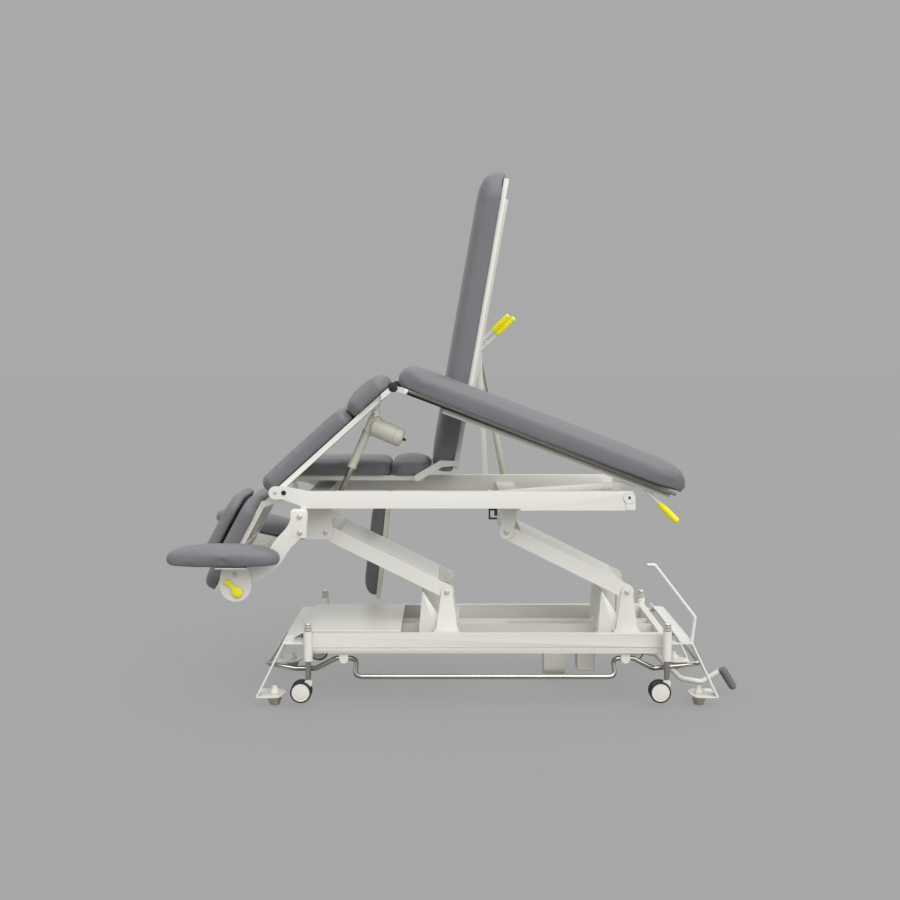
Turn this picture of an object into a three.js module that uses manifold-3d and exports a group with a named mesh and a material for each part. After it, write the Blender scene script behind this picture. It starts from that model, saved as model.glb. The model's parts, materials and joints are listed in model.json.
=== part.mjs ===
// Height-adjustable physiotherapy table with two lying lanes, in millimetres, +Z up.
// +X runs towards the foot end, -Y is the near side. The floor is Z = 0.
import * as THREE from "three";
import { mergeVertices } from "three/addons/utils/BufferGeometryUtils.js";
import Module from "manifold-3d";

const wasm = await Module();
wasm.setup();

// Shared clearances and sheet
const clearance = 0.3;
const seam = 1;
const overrun = 5;
const sheet = 5;
const pinRadius = 8;
const boreClearance = 0.5;
const lugRadius = 18;

// Base rails and cross tubes
const casterHead = -542;
const casterFoot = 721;
const railSetback = 12;
const railHead = casterHead + railSetback;
const railFoot = casterFoot - railSetback;
const railOuter = 271;
const railWidth = 30;
const railBottom = 188;
const railHeight = 70;
const grooveBottom = 15;
const grooveHeight = 6;
const grooveDepth = 4;
const casterSide = 308;
const housingRadius = 16;
const housingBottom = 171;
const housingHeight = 106;
const boltRadius = 10;
const boltHeight = 11;
const crossWidth = 26;
const crossBottom = 200;
const crossHeight = 50;

// Central channel with the lift drive
const channelSide = 48;
const channelWall = 4;
const channelBottom = 196;
const channelHeight = 50;
const driveTubeRadius = 18;
const driveTubeHead = 180;
const driveTubeLength = 240;
const driveRodRadius = 10;
const driveEyeWidth = 20;
const driveEyeRadius = 14;
const motorLength = 82;
const motorWidth = 70;
const motorHeight = 150;
const motorSetback = 31;
const boxHead = 432;
const boxLength = 66;
const boxWidth = 90;
const boxHeight = 128;

// Lift arms: two equal parallel arms on pedestals
const headPedestal = -54;
const footPedestal = 597;
const pedestalPivotHeight = 389;
const pedestalInner = 168;
const pedestalWall = 6;
const pedestalBase = 93;
const pedestalTopRadius = 20;
const pedestalWebGap = 58;
const pedestalWebHeight = 385;
const pedestalWebLean = 14;
const armLength = 488;
const armSide = 165;
const armHeight = 52;
const armWall = 5;
const armWebStart = 46;
const driveTubeLift = 8.2;
const leverAngle = 3;
const leverSide = 14;
const leverWall = 6;
const leverRadius = 14;

// Upper frame
const frameHead = -563;
const frameFoot = 595;
const frameSide = 310;
const frameRailWidth = 25;
const frameBottom = 710;
const frameHeight = 60;
const armTopDrop = 103.26;
const frameCrossLift = 2;
const frameCrossHeight = 30;
const headCrossLength = 72;
const middleCrossSetback = 22.3;
const middleCrossLength = 70;
const footCrossLength = 35;
const lipHead = 203;
const lipFoot = 570;
const lipHeight = 7;
const endDiscRadius = 21;
const endDiscSetback = 13;
const endDiscLift = 39;
const endDiscWidth = 2.5;
const bracketWall = 6;

// Section pivots
const seatPivotReach = 59;
const seatPivotDrop = 5;
const sectionGap = 5;
const headPivotOffset = 30;
const headShaftRadius = 6;
const nearHingeAlong = 529;
const nearHingeLift = 16;
const nearPadStart = 1;
const nearSeatEnd = 528;
const farHingeAlong = 546;
const farHingeLift = 74;
const farPadStart = -38;
const farSeatEnd = 507;
const thighRise = 42;
const longSlope = 20.7;
const farLongRise = 80;

// Section frames under the pads
const laneGap = 5;
const laneWidth = 320;
const memberWidth = 24;
const stripStart = 190;
const stripEnd = 1040;
const stripHeight = 18;
const stripWidth = 10;
const nearStripSide = 265;
const farStripSide = 313;

// Pads
const padThickness = 60;
const longPadThickness = 78;
const padCrown = 9;
const padTuck = 7;
const padCorner = 34;
const padEdge = 22;
const narrowStart = -45;
const narrowEnd = 357;
const narrowInset = 22;
const nearLongPad = 1090;
const farLongPad = 1114;

// Struts, gas spring and release handles
const strutPivotX = 98;
const strutPivotLift = 45;
const strutLength = 524;
const farStrutLength = 498;
const strutWidth = 22;
const strutWall = 6;
const nearStrutAngle = 4.2;
const farStrutAngle = 93.1;
const handleAngle = -49;
const handleRod = 5;
const handleRodLength = 86;
const gripRadius = 12;
const gripLength = 84;
const gasPivotX = 179;
const gasPivotLift = 18;
const gasAngle = 101.3;
const gasLength = 541;
const gasCylinderRadius = 12;
const gasCylinderLength = 300;
const gasRodRadius = 5;
const gasSide = 349;
const gasEyeRadius = 12;

// Section actuator
const actuatorLowerX = -441;
const actuatorLowerLift = 25;
const actuatorTopAlong = 419;
const actuatorTopLift = -6;
const actuatorY = -215;
const actuatorTubeRadius = 14.5;
const actuatorTubeLength = 215;
const actuatorRodRadius = 10;
const gearboxLength = 78;
const gearboxWidth = 42;
const gearboxHeight = 60;
const actuatorMotorRadius = 34;
const actuatorMotorLength = 108;
const actuatorEyeRadius = 14;

// Head section
const headTilt = 61.7;
const headFrameEnd = 440;
const headFrameSide = 196;
const headPadStart = 60;
const headRingStart = 70;
const headNeck = 24;
const headPadEnd = 447;
const headPadSide = 212;
const headPadLift = 37;
const headPadThickness = 52;
const facePadStart = 30;
const facePadEnd = 392;
const facePadSide = 165;
const facePadThickness = 44;

// Armrests, their curved arms and clamps
const armrestReach = 220;
const armrestDrop = 245;
const armrestHead = -226;
const armrestFoot = 161;
const armrestInner = 335;
const armrestWidth = 130;
const armrestLift = 65;
const armrestThickness = 46;
const armrestCrown = 30;
const farArmrestTilt = 12;
const curvedArmInner = 318;
const curvedArmWall = 12;
const curvedArmWidth = 60;
const curvedArmGap = 6;
const curvedArmSetback = 4;
const armBossRadius = 34;
const discWidth = 22;
const discRadius = 55.5;
const discDrop = 14;
const discNeck = 38;
const clampOffset = 26;
const clampRadius = 11;
const clampLength = 48;
const clampBall = 19;
const clampWall = 14;

// Hanging side flap
const flapX = -287;
const flapDrop = 30;
const flapLean = 6.3;
const flapInner = 334;
const flapWidth = 112;
const flapPadTop = 20;
const flapPadLength = 392;
const flapPadThickness = 50;
const flapRailWidth = 16;
const flapRailDepth = 12;
const flapRodRadius = 6;

// End brackets, feet, casters
const ledgeHeight = 240;
const ledgeSetback = 36;
const ledgeLip = 14;
const headLedgeReach = 89;
const footLedgeReach = 91;
const headLegReach = 186;
const footLegReach = 184;
const legSide = 310;
const legWidth = 52;
const legFlangeHeight = 42;
const legFlangeLength = 108;
const legFlangeWidth = 112;
const legFlangeRound = 44;
const footRadius = 26;
const footScrewRadius = 8;
const footHeight = 26;
const guardRadius = 6;
const guardRise = 325;
const guardTopX = 674;
const guardTopHeight = 511;
const coverFoot = -219;
const coverSide = 238;
const stemRadius = 10;
const stemLength = 160;
const stemBottom = 94;
const swivelRadius = 4;
const swivelLength = 28;
const wheelRadius = 37.5;
const wheelWidth = 18;
const wheelGap = 16;
const wheelHeight = 62;
const wheelTrail = 25;
const wheelRound = 5;
const axleRadius = 5;

// Foot bar and caster pedal
const barRadius = 9;
const barSide = 312;
const barInnerSide = 246;
const barHeight = 115;
const barRiseHeight = 165;
const barHead = -340;
const barFoot = 501;
const barEndHead = -693;
const barEndFoot = 850;
const barEndHeight = 146;
const barBend = 26;
const hangerReach = 81;
const barJog = 36.4;
const pedalY = -110;
const pedalPivotX = 640;
const pedalPivotHeight = 160;
const pedalRadius = 10;
const pedalPast = 41;
const pedalDrop = 118;
const pedalReachShares = [0, 0.235, 0.5425, 0.79, 1];
const pedalDropShares = [0, 0.102, 0.881, 1, 0.661];
const pedalPadRadius = 15;
const pedalPadLength = 77.3;

// Heights and places that follow from the sizes above
const sectionMember = 18;
const frameTop = frameBottom + frameHeight;
const frameCrossBottom = frameBottom + frameCrossLift;
const frameCrossTop = frameCrossBottom + frameCrossHeight;
const armTopHeight = frameBottom - armTopDrop;
const armAngle = THREE.MathUtils.radToDeg(Math.asin((armTopHeight - pedestalPivotHeight) / armLength));
const seatPivotX = frameHead - seatPivotReach;
const seatPivotHeight = frameTop - seatPivotDrop;
const headPivotX = seatPivotX - headPivotOffset;
const padLift = seatPivotDrop + sectionGap + sectionMember;
const strutPivotHeight = frameBottom + strutPivotLift;
const gasPivotHeight = frameBottom + gasPivotLift;
const actuatorLowerHeight = frameBottom + actuatorLowerLift;
const endDiscX = frameFoot - endDiscSetback;
const endDiscHeight = frameBottom + endDiscLift;
const curvedArmX = frameHead - curvedArmSetback;
const curvedArmTop = frameBottom - curvedArmGap;
const armrestPivotX = curvedArmX - armrestReach;
const armrestPivotHeight = curvedArmTop - armrestDrop;
const flapHeight = frameBottom - flapDrop;
const ledgeHead = casterHead - headLedgeReach;
const ledgeFoot = casterFoot + footLedgeReach;
const legHead = casterHead - headLegReach;
const legFoot = casterFoot + footLegReach;
const pedalReach = legFoot + pedalPast - pedalPivotX;

// Turn degrees into radians.
const rad = THREE.MathUtils.degToRad;
const armRun = armLength * Math.cos(rad(armAngle));
const middleCrossHead = footPedestal - armRun - middleCrossSetback;
const driveHeight = channelBottom + channelWall + driveTubeLift + driveTubeRadius;
const leverLength = (pedestalPivotHeight - driveHeight) / Math.cos(rad(leverAngle));

// A point in space.
function at(x, y, z) {
  return new THREE.Vector3(x, y, z);
}

// A closed mesh becomes a solid, so that it can be joined and cut.
function solidOf(geometry) {
  const bare = geometry.clone();
  bare.deleteAttribute("normal");
  bare.deleteAttribute("uv");
  const merged = mergeVertices(bare);
  return new wasm.Manifold(
    new wasm.Mesh({
      numProp: 3,
      vertProperties: new Float32Array(merged.attributes.position.array),
      triVerts: new Uint32Array(merged.index.array),
    }),
  );
}

// A solid becomes a geometry again.
function geometryOf(solid) {
  const mesh = solid.getMesh();
  const geometry = new THREE.BufferGeometry();
  geometry.setAttribute("position", new THREE.BufferAttribute(new Float32Array(mesh.vertProperties), 3));
  geometry.setIndex(new THREE.BufferAttribute(new Uint32Array(mesh.triVerts), 1));
  geometry.computeVertexNormals();
  return geometry;
}

function join(pieces) {
  let whole = solidOf(pieces[0]);
  for (const piece of pieces.slice(1)) {
    whole = whole.add(solidOf(piece));
  }
  return geometryOf(whole);
}

function cut(geometry, tools) {
  let whole = solidOf(geometry);
  for (const tool of tools) {
    whole = whole.subtract(solidOf(tool));
  }
  return geometryOf(whole);
}

// A box between two opposite corners.
function block(x0, x1, y0, y1, z0, z1) {
  const geometry = new THREE.BoxGeometry(x1 - x0, y1 - y0, z1 - z0);
  return geometry.translate((x0 + x1) / 2, (y0 + y1) / 2, (z0 + z1) / 2);
}

// An outline in the X-Z plane, extruded from y0 to y1.
function plate(outline, y0, y1, curveSegments = 4) {
  const shape = outline instanceof THREE.Shape ? outline : new THREE.Shape(outline);
  const geometry = new THREE.ExtrudeGeometry(shape, { depth: y1 - y0, bevelEnabled: false, curveSegments });
  return geometry.rotateX(Math.PI / 2).translate(0, y1, 0);
}

// An outline in the X-Y plane, extruded from z0 to z1.
function slab(outline, z0, z1) {
  const curveSegments = 8;
  return new THREE.ExtrudeGeometry(outline, { depth: z1 - z0, bevelEnabled: false, curveSegments })
    .translate(0, 0, z0);
}

// A round bar between two points.
function rod(from, to, radius, sides = 10) {
  const along = to.clone().sub(from);
  const geometry = new THREE.CylinderGeometry(radius, radius, along.length(), sides);
  geometry.rotateX(Math.PI / 2);
  const turn = new THREE.Quaternion().setFromUnitVectors(at(0, 0, 1), along.clone().normalize());
  const middle = from.clone().add(to).multiplyScalar(0.5);
  return geometry.applyQuaternion(turn).translate(middle.x, middle.y, middle.z);
}

// A pin or bore across the table, at one place in the X-Z plane.
function crossPin(x, z, y0, y1, radius, sides = 10) {
  return rod(at(x, y0, z), at(x, y1, z), radius, sides);
}

// The outline of a bar with round ends between two points of the X-Z plane.
function linkOutline(x0, z0, x1, z1, radius0, radius1 = radius0) {
  const angle = Math.atan2(z1 - z0, x1 - x0);
  const quarter = Math.PI / 2;
  const shape = new THREE.Shape();
  shape.absarc(x0, z0, radius0, angle + quarter, angle + 3 * quarter, false);
  shape.absarc(x1, z1, radius1, angle - quarter, angle + quarter, false);
  shape.closePath();
  return shape;
}

// A path of straight runs and round bends, sampled once per run and a few times per bend.
class BentPath extends THREE.Curve {
  constructor(corners, bendRadius, bendSteps) {
    super();
    this.stations = [];
    const last = corners.length - 1;
    const direction = (i) => corners[i + 1].clone().sub(corners[i]).normalize();
    this.stations.push({ point: corners[0], tangent: direction(0) });
    for (let i = 1; i < last; i += 1) {
      const before = direction(i - 1);
      const after = direction(i);
      const turn = before.angleTo(after);
      const reach = bendRadius * Math.tan(turn / 2);
      const start = corners[i].clone().addScaledVector(before, -reach);
      const end = corners[i].clone().addScaledVector(after, reach);
      for (let step = 0; step <= bendSteps; step += 1) {
        const share = step / bendSteps;
        const first = start.clone().lerp(corners[i], share);
        const second = corners[i].clone().lerp(end, share);
        this.stations.push({
          point: first.clone().lerp(second, share),
          tangent: before.clone().lerp(after, share).normalize(),
        });
      }
    }
    this.stations.push({ point: corners[last], tangent: direction(last - 1) });
  }

  get steps() {
    return this.stations.length - 1;
  }

  station(u) {
    return this.stations[Math.round(u * this.steps)];
  }

  getPoint(u) {
    return this.station(u).point.clone();
  }

  getPointAt(u) {
    return this.getPoint(u);
  }

  getTangentAt(u) {
    return this.station(u).tangent.clone();
  }
}

// A round tube along a bent path.
function bentTube(corners, radius, bendRadius, bendSteps = 3, sides = 10) {
  const path = new BentPath(corners, bendRadius, bendSteps);
  const section = [];
  for (let side = 0; side < sides; side += 1) {
    const angle = (2 * Math.PI * side) / sides;
    section.push(new THREE.Vector2(radius * Math.cos(angle), radius * Math.sin(angle)));
  }
  return new THREE.ExtrudeGeometry(new THREE.Shape(section), { steps: path.steps, extrudePath: path });
}

// The same geometry on the other side of the X-Z plane.
function mirrored(geometry) {
  const copy = mergeVertices(bareOf(geometry));
  copy.scale(1, -1, 1);
  const index = copy.index.array;
  for (let i = 0; i < index.length; i += 3) {
    [index[i], index[i + 1]] = [index[i + 1], index[i]];
  }
  copy.computeVertexNormals();
  return copy;
}

function bareOf(geometry) {
  const bare = geometry.clone();
  bare.deleteAttribute("normal");
  bare.deleteAttribute("uv");
  return bare;
}

// A pad with drawn-in sides, a round upper edge and a crowned top, from its inset rings.
function cushion(x0, x1, y0, y1, z0, thickness, crown, corner = padCorner, edge = padEdge) {
  const tuckShare = 0.3;
  const bulgeShares = [0, 0.14, 0.42];
  const edgeSteps = 3;
  const crownShares = [0.35, 0.7];
  const innerShare = 0.8;
  const rings = [
    [padTuck, bulgeShares[0] * thickness],
    [padTuck * tuckShare, bulgeShares[1] * thickness],
    [0, bulgeShares[2] * thickness],
  ];
  for (let step = 0; step <= edgeSteps; step += 1) {
    const angle = (Math.PI / 2) * (step / edgeSteps);
    rings.push([edge * (1 - Math.cos(angle)), thickness - edge * (1 - Math.sin(angle))]);
  }
  const reach = Math.min(x1 - x0, y1 - y0) / 2;
  for (const share of crownShares) {
    const inset = edge + (reach - edge) * share;
    rings.push([inset, thickness + crown * (1 - (1 - share) ** 2)]);
  }
  const cornerSteps = 4;
  const count = 4 * (cornerSteps + 1);
  const positions = [];
  for (const [inset, height] of rings) {
    const radius = Math.min(Math.max(corner - inset, corner / cornerSteps), (reach - inset) * innerShare);
    const centres = [
      [x1 - inset - radius, y1 - inset - radius],
      [x0 + inset + radius, y1 - inset - radius],
      [x0 + inset + radius, y0 + inset + radius],
      [x1 - inset - radius, y0 + inset + radius],
    ];
    centres.forEach(([cx, cy], quarter) => {
      for (let step = 0; step <= cornerSteps; step += 1) {
        const angle = (Math.PI / 2) * (quarter + step / cornerSteps);
        positions.push(cx + radius * Math.cos(angle), cy + radius * Math.sin(angle), z0 + height);
      }
    });
  }
  const indices = [];
  const last = rings.length - 1;
  for (let ring = 0; ring < last; ring += 1) {
    for (let i = 0; i < count; i += 1) {
      const a = ring * count + i;
      const b = ring * count + ((i + 1) % count);
      indices.push(a, b, b + count, a, b + count, a + count);
    }
  }
  const middleX = (x0 + x1) / 2;
  const middleY = (y0 + y1) / 2;
  const bottom = positions.length / 3;
  positions.push(middleX, middleY, z0);
  const top = bottom + 1;
  positions.push(middleX, middleY, z0 + thickness + crown);
  for (let i = 0; i < count; i += 1) {
    const next = (i + 1) % count;
    indices.push(bottom, next, i);
    indices.push(top, last * count + i, last * count + next);
  }
  const geometry = new THREE.BufferGeometry();
  geometry.setAttribute("position", new THREE.Float32BufferAttribute(positions, 3));
  geometry.setIndex(indices);
  geometry.computeVertexNormals();
  return geometry;
}

// Finishes
function finish(name, color, roughness, metalness) {
  return { name, color, roughness, metalness };
}
const upholstery = finish("upholstery", 0x6e6c71, 0.55, 0);
const whitePaint = finish("white paint", 0xdedcd4, 0.45, 0.1);
const chrome = finish("chrome", 0xc9c6bf, 0.2, 1);
const yellowPlastic = finish("yellow plastic", 0xe1d714, 0.4, 0);
const greyPlastic = finish("grey plastic", 0xb9b9b4, 0.5, 0);
const blackRubber = finish("black rubber", 0x2a2a2c, 0.8, 0);
const greyRubber = finish("grey rubber", 0x77777a, 0.8, 0);

const table = new THREE.Group();

function add(parent, name, geometry, look) {
  const material = new THREE.MeshStandardMaterial(look);
  const mesh = new THREE.Mesh(geometry, material);
  mesh.name = name;
  parent.add(mesh);
}

// A group that turns about the Y axis, so that its +X side is raised by an angle in degrees.
function turned(parent, x, z, angle) {
  const group = new THREE.Group();
  group.position.set(x, 0, z);
  group.rotation.y = -rad(angle);
  parent.add(group);
  return group;
}

const sides = [
  { name: "near", sign: -1 },
  { name: "far", sign: 1 },
];

// Put a y interval, given outwards from the middle, on one side.
function span(sign, inner, outer) {
  return sign > 0 ? [inner, outer] : [-outer, -inner];
}

// Base frame: rails, cross tubes, caster housings, central channel and pedestals.
const railTop = railBottom + railHeight;
const channelTop = channelBottom + channelHeight;
const crossTop = crossBottom + crossHeight;

function baseRail(sign) {
  const [y0, y1] = span(sign, railOuter - railWidth, railOuter);
  const [g0, g1] = span(sign, railOuter - grooveDepth, railOuter + overrun);
  const grooveZ = railBottom + grooveBottom;
  const rail = block(railHead, railFoot, y0, y1, railBottom, railTop);
  const groove = block(railHead - overrun, railFoot + overrun, g0, g1, grooveZ, grooveZ + grooveHeight);
  return cut(rail, [groove]);
}

function pedestalOutline(x) {
  const half = pedestalBase / 2;
  const shape = new THREE.Shape();
  const slope = Math.atan2(half - pedestalTopRadius, pedestalPivotHeight - crossBottom);
  shape.moveTo(x - half, crossBottom);
  shape.lineTo(x + half, crossBottom);
  shape.absarc(x, pedestalPivotHeight, pedestalTopRadius, slope, Math.PI - slope, false);
  shape.closePath();
  return shape;
}

function pedestal(x) {
  const half = pedestalBase / 2;
  const outer = pedestalInner + pedestalWall;
  const pieces = [block(x - half, x + half, -railOuter + overrun, railOuter - overrun, crossBottom,
    crossTop)];
  for (const { sign } of sides) {
    const [y0, y1] = span(sign, pedestalInner, outer);
    pieces.push(plate(pedestalOutline(x), y0, y1));
    const [p0, p1] = span(sign, armSide - armWall * 2, outer);
    pieces.push(crossPin(x, pedestalPivotHeight, p0, p1, pinRadius));
  }
  const webX = x - half - pedestalWebGap;
  const webSide = armSide - armWall - overrun * 2;
  const web = [
    [webX, crossBottom],
    [webX + sheet, crossBottom],
    [webX + sheet + pedestalWebLean, pedestalWebHeight],
    [webX + pedestalWebLean, pedestalWebHeight],
  ].map(([px, pz]) => new THREE.Vector2(px, pz));
  pieces.push(plate(web, -webSide, webSide));
  for (const { sign } of sides) {
    const [y0, y1] = span(sign, webSide - sheet, webSide);
    const wing = [
      [webX, crossBottom],
      [x, crossBottom],
      [x, crossTop],
      [webX + pedestalWebLean + armWall, pedestalWebHeight],
      [webX + pedestalWebLean, pedestalWebHeight],
    ].map(([px, pz]) => new THREE.Vector2(px, pz));
    pieces.push(plate(wing, y0, y1));
  }
  pieces.push(block(webX, x, -webSide, webSide, crossBottom, crossBottom + sheet));
  return join(pieces);
}

// Hexagon bolt head on a caster housing.
function housingBolt(x, y) {
  const top = housingBottom + housingHeight;
  return rod(at(x, y, top - sheet / 2), at(x, y, top + boltHeight), boltRadius, 6);
}

function baseFrame() {
  const pieces = [baseRail(-1), baseRail(1)];
  const crossReach = casterSide - overrun;
  for (const x of [casterHead, casterFoot]) {
    const half = crossWidth / 2;
    pieces.push(block(x - half, x + half, -crossReach, crossReach, crossBottom, crossTop));
    for (const { sign } of sides) {
      const y = sign * casterSide;
      const top = housingBottom + housingHeight;
      pieces.push(rod(at(x, y, housingBottom), at(x, y, top), housingRadius, 14));
    }
  }
  pieces.push(block(casterHead, casterFoot, -channelSide, channelSide, channelBottom, channelTop));
  pieces.push(pedestal(headPedestal), pedestal(footPedestal), pedalBracket());
  for (const { sign } of sides) {
    pieces.push(barHanger(sign, barHead - hangerReach), barHanger(sign, barFoot + hangerReach));
  }
  const inner = channelSide - channelWall;
  const floor = channelBottom + channelWall;
  const channelEnd = crossWidth / 2;
  const hollow = [
    block(casterHead + channelEnd, casterFoot - channelEnd, -inner, inner, floor, channelTop + overrun),
  ];
  const webLow = footPedestal - pedestalBase;
  const webHigh = channelTop + driveTubeRadius;
  hollow.push(block(webLow - pedestalWebGap, webLow + pedestalWebGap, -inner, inner, floor, webHigh));
  for (const x of [casterHead, casterFoot]) {
    for (const { sign } of sides) {
      const bore = stemRadius + boreClearance;
      const y = sign * casterSide;
      const roof = housingBottom + housingHeight - sheet;
      hollow.push(rod(at(x, y, housingBottom - overrun), at(x, y, roof), bore));
    }
  }
  for (const x of [casterHead, casterFoot]) {
    for (const { sign } of sides) {
      pieces.push(housingBolt(x, sign * casterSide));
    }
  }
  return cut(join(pieces), hollow);
}

// Pressed cover over the head end, dipping to a ledge past the head cross tube, with its two legs.
function headEndCover() {
  const top = railTop + clearance;
  const dip = new THREE.Vector2(casterHead - crossWidth, top + sheet);
  const ledge = new THREE.Vector2(casterHead - crossWidth * 2, ledgeHeight + sheet);
  const outline = new THREE.Shape();
  outline.moveTo(coverFoot, top);
  outline.lineTo(coverFoot, top + sheet);
  outline.lineTo(casterHead, top + sheet);
  outline.quadraticCurveTo(dip.x, dip.y, ledge.x, ledge.y);
  outline.lineTo(ledgeHead, ledgeHeight);
  outline.lineTo(ledgeHead, ledgeHeight - sheet);
  outline.lineTo(ledge.x, ledge.y - sheet);
  outline.quadraticCurveTo(dip.x, dip.y - sheet, casterHead, top);
  outline.closePath();
  const ledgeStrip = block(ledgeHead, ledge.x, -legSide, legSide, ledgeHeight - sheet * 2,
    ledgeHeight - sheet / 2);
  const legs = sides.flatMap(({ sign }) => legPiece(sign, -1, casterHead, legHead, ledgeHead));
  return cut(join([plate(outline, -coverSide, coverSide), ledgeStrip, ...legs]), footBores(-1, legHead));
}

// A bent leg from an end cross tube down to its levelling foot.
function legPiece(sign, outward, crossX, legX, ledgeX) {
  const [y0, y1] = span(sign, legSide - legWidth, legSide);
  const bend = sheet;
  const ledgeZ = ledgeHeight - sheet - clearance;
  const outline = [
    [crossX + outward * (housingRadius + clearance), ledgeZ],
    [ledgeX, ledgeZ],
    [legX, legFlangeHeight],
    [legX - outward * bend, legFlangeHeight - sheet],
    [legX - outward * bend * 2, legFlangeHeight + sheet],
    [ledgeX - outward * sheet, ledgeZ - sheet],
    [crossX + outward * (housingRadius + clearance), ledgeZ - sheet],
  ].map(([x, z]) => new THREE.Vector2(x, z));
  const flangeX = legX - outward * legFlangeLength;
  const [f0, f1] = span(sign, legSide - legFlangeWidth, legSide);
  const inner = flangeX + outward * legFlangeRound;
  const outer = legX - outward * bend;
  const flange = new THREE.Shape();
  flange.moveTo(outer, f0);
  flange.lineTo(outer, f1);
  flange.lineTo(inner, f1);
  flange.bezierCurveTo(flangeX, f1, flangeX, f0, inner, f0);
  flange.closePath();
  return [plate(outline, y0, y1), slab(flange, legFlangeHeight - sheet, legFlangeHeight)];
}

// Bores of the levelling screws in the two leg flanges of one end.
function footBores(outward, legX) {
  return sides.map(({ sign }) => {
    const centre = footCentre(sign, outward, legX);
    return rod(
      at(centre.x, centre.y, legFlangeHeight - sheet * 2),
      at(centre.x, centre.y, legFlangeHeight + sheet),
      footScrewRadius + boreClearance,
    );
  });
}

function footCentre(sign, outward, legX) {
  const inwardShare = 0.55;
  return at(legX - outward * legFlangeLength * inwardShare, sign * (legSide - legFlangeWidth / 2), 0);
}

function levellingFoot(centre) {
  const baseTop = footHeight * 0.6;
  const nutTop = legFlangeHeight - sheet - clearance;
  const screwTop = legFlangeHeight + footHeight;
  const profile = [
    [0, 0],
    [footRadius, 0],
    [footRadius, baseTop],
    [footScrewRadius * 2, nutTop],
    [footScrewRadius, nutTop],
    [footScrewRadius, screwTop],
    [0, screwTop],
  ].map(([r, z]) => new THREE.Vector2(r, z));
  const geometry = new THREE.LatheGeometry(profile, 12);
  return geometry.rotateX(Math.PI / 2).translate(centre.x, centre.y, 0);
}

// Bent guard rod that rises from the near foot-end leg.
function guardRod() {
  const y = -legSide + guardRadius;
  const top = guardTopX - legFlangeLength * 0.25;
  const corners = [
    at(ledgeFoot - sheet, y, ledgeHeight - sheet * 1.5),
    at(ledgeFoot + guardRadius, y, guardRise),
    at(guardTopX, y, guardTopHeight),
    at(top, y, guardTopHeight),
  ];
  return bentTube(corners, guardRadius, guardRadius * 2);
}

// Foot-end ledge: a pressed strip with an upturned inner lip, with its two legs and the guard.
function footEndLedge() {
  const start = casterFoot + ledgeSetback;
  const end = ledgeFoot - guardRadius * 2;
  const low = ledgeHeight - sheet;
  const outline = new THREE.Shape();
  outline.moveTo(start, ledgeHeight + ledgeLip);
  outline.quadraticCurveTo(start + sheet, low, start + ledgeLip, low);
  outline.lineTo(end, low);
  outline.lineTo(end, ledgeHeight);
  outline.lineTo(start + ledgeLip, ledgeHeight);
  outline.quadraticCurveTo(start + sheet * 2, ledgeHeight, start + sheet, ledgeHeight + ledgeLip);
  outline.closePath();
  const strip = block(start + ledgeLip, ledgeFoot, -legSide, legSide, ledgeHeight - sheet * 2,
    ledgeHeight - sheet / 2);
  const legs = sides.flatMap(({ sign }) => legPiece(sign, 1, casterFoot, legFoot, ledgeFoot));
  const whole = join([plate(outline, -legSide, legSide), strip, ...legs, guardRod()]);
  return cut(whole, footBores(1, legFoot));
}

// Chrome foot bar: one bail that runs round the whole base.
function footBar() {
  const inner = -barInnerSide;
  const outer = -barSide;
  const corners = [
    at(barEndHead, seam, barEndHeight),
    at(barEndHead, inner, barEndHeight),
    at(barHead - barJog * 7, inner, barEndHeight - barRadius * 2),
    at(barHead - barJog * 5, inner, barEndHeight - barRadius * 2),
    at(barHead - barJog * 3, inner, barRiseHeight),
    at(barHead - barJog, inner, barRiseHeight),
    at(barHead - barJog, outer, barHeight),
    at(barFoot + barJog, outer, barHeight),
    at(barFoot + barJog, inner, barRiseHeight),
    at(barFoot + barJog * 3, inner, barRiseHeight),
    at(barFoot + barJog * 5, inner, barEndHeight - barRadius * 2),
    at(barEndFoot, inner, barEndHeight),
    at(barEndFoot, seam, barEndHeight),
  ];
  const half = bentTube(corners, barRadius, barBend, 2, 8);
  return join([half, mirrored(half)]);
}

// A hanger plate that carries the foot bar under a base rail.
function barHanger(sign, x) {
  const [y0, y1] = span(sign, barInnerSide + barRadius + seam, barInnerSide + barRadius + seam + sheet);
  const reach = barRadius * 1.8;
  const shape = linkOutline(x, barRiseHeight, x, railBottom, reach, reach);
  const trimmed = plate(shape, y0, y1);
  const roof = block(x - reach * 2, x + reach * 2, y0 - overrun, y1 + overrun, railBottom + overrun,
    railTop);
  const [p0, p1] = span(sign, barInnerSide + barRadius + clearance, barInnerSide + barRadius + sheet);
  return cut(join([trimmed, crossPin(x, barRiseHeight, p0, p1, barRadius / 2)]), [roof]);
}

// Caster post that slides in its housing, with a blind bore for the swivel pin.
function casterPost(x, y) {
  const bottom = stemBottom + stemRadius + clearance;
  const post = rod(at(x, y, bottom), at(x, y, stemBottom + stemLength), stemRadius);
  const bore = rod(at(x, y, bottom - overrun), at(x, y, bottom + swivelLength),
    swivelRadius + boreClearance, 8);
  return cut(post, [bore]);
}

// Fork that swivels under its post and carries the wheel pair between its wheels.
function casterFork(x, y) {
  const top = stemBottom + stemRadius;
  const wheelX = x - wheelTrail;
  const half = wheelGap / 2 - seam;
  const neck = linkOutline(x, top - stemRadius * 1.4, wheelX, wheelHeight, stemRadius * 1.4,
    axleRadius * 2);
  const pin = rod(at(x, y, top - overrun), at(x, y, top + swivelLength - overrun), swivelRadius, 8);
  const bore = crossPin(wheelX, wheelHeight, y - wheelGap, y + wheelGap, axleRadius + boreClearance);
  return cut(join([plate(neck, y - half, y + half), pin]), [bore]);
}

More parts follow.
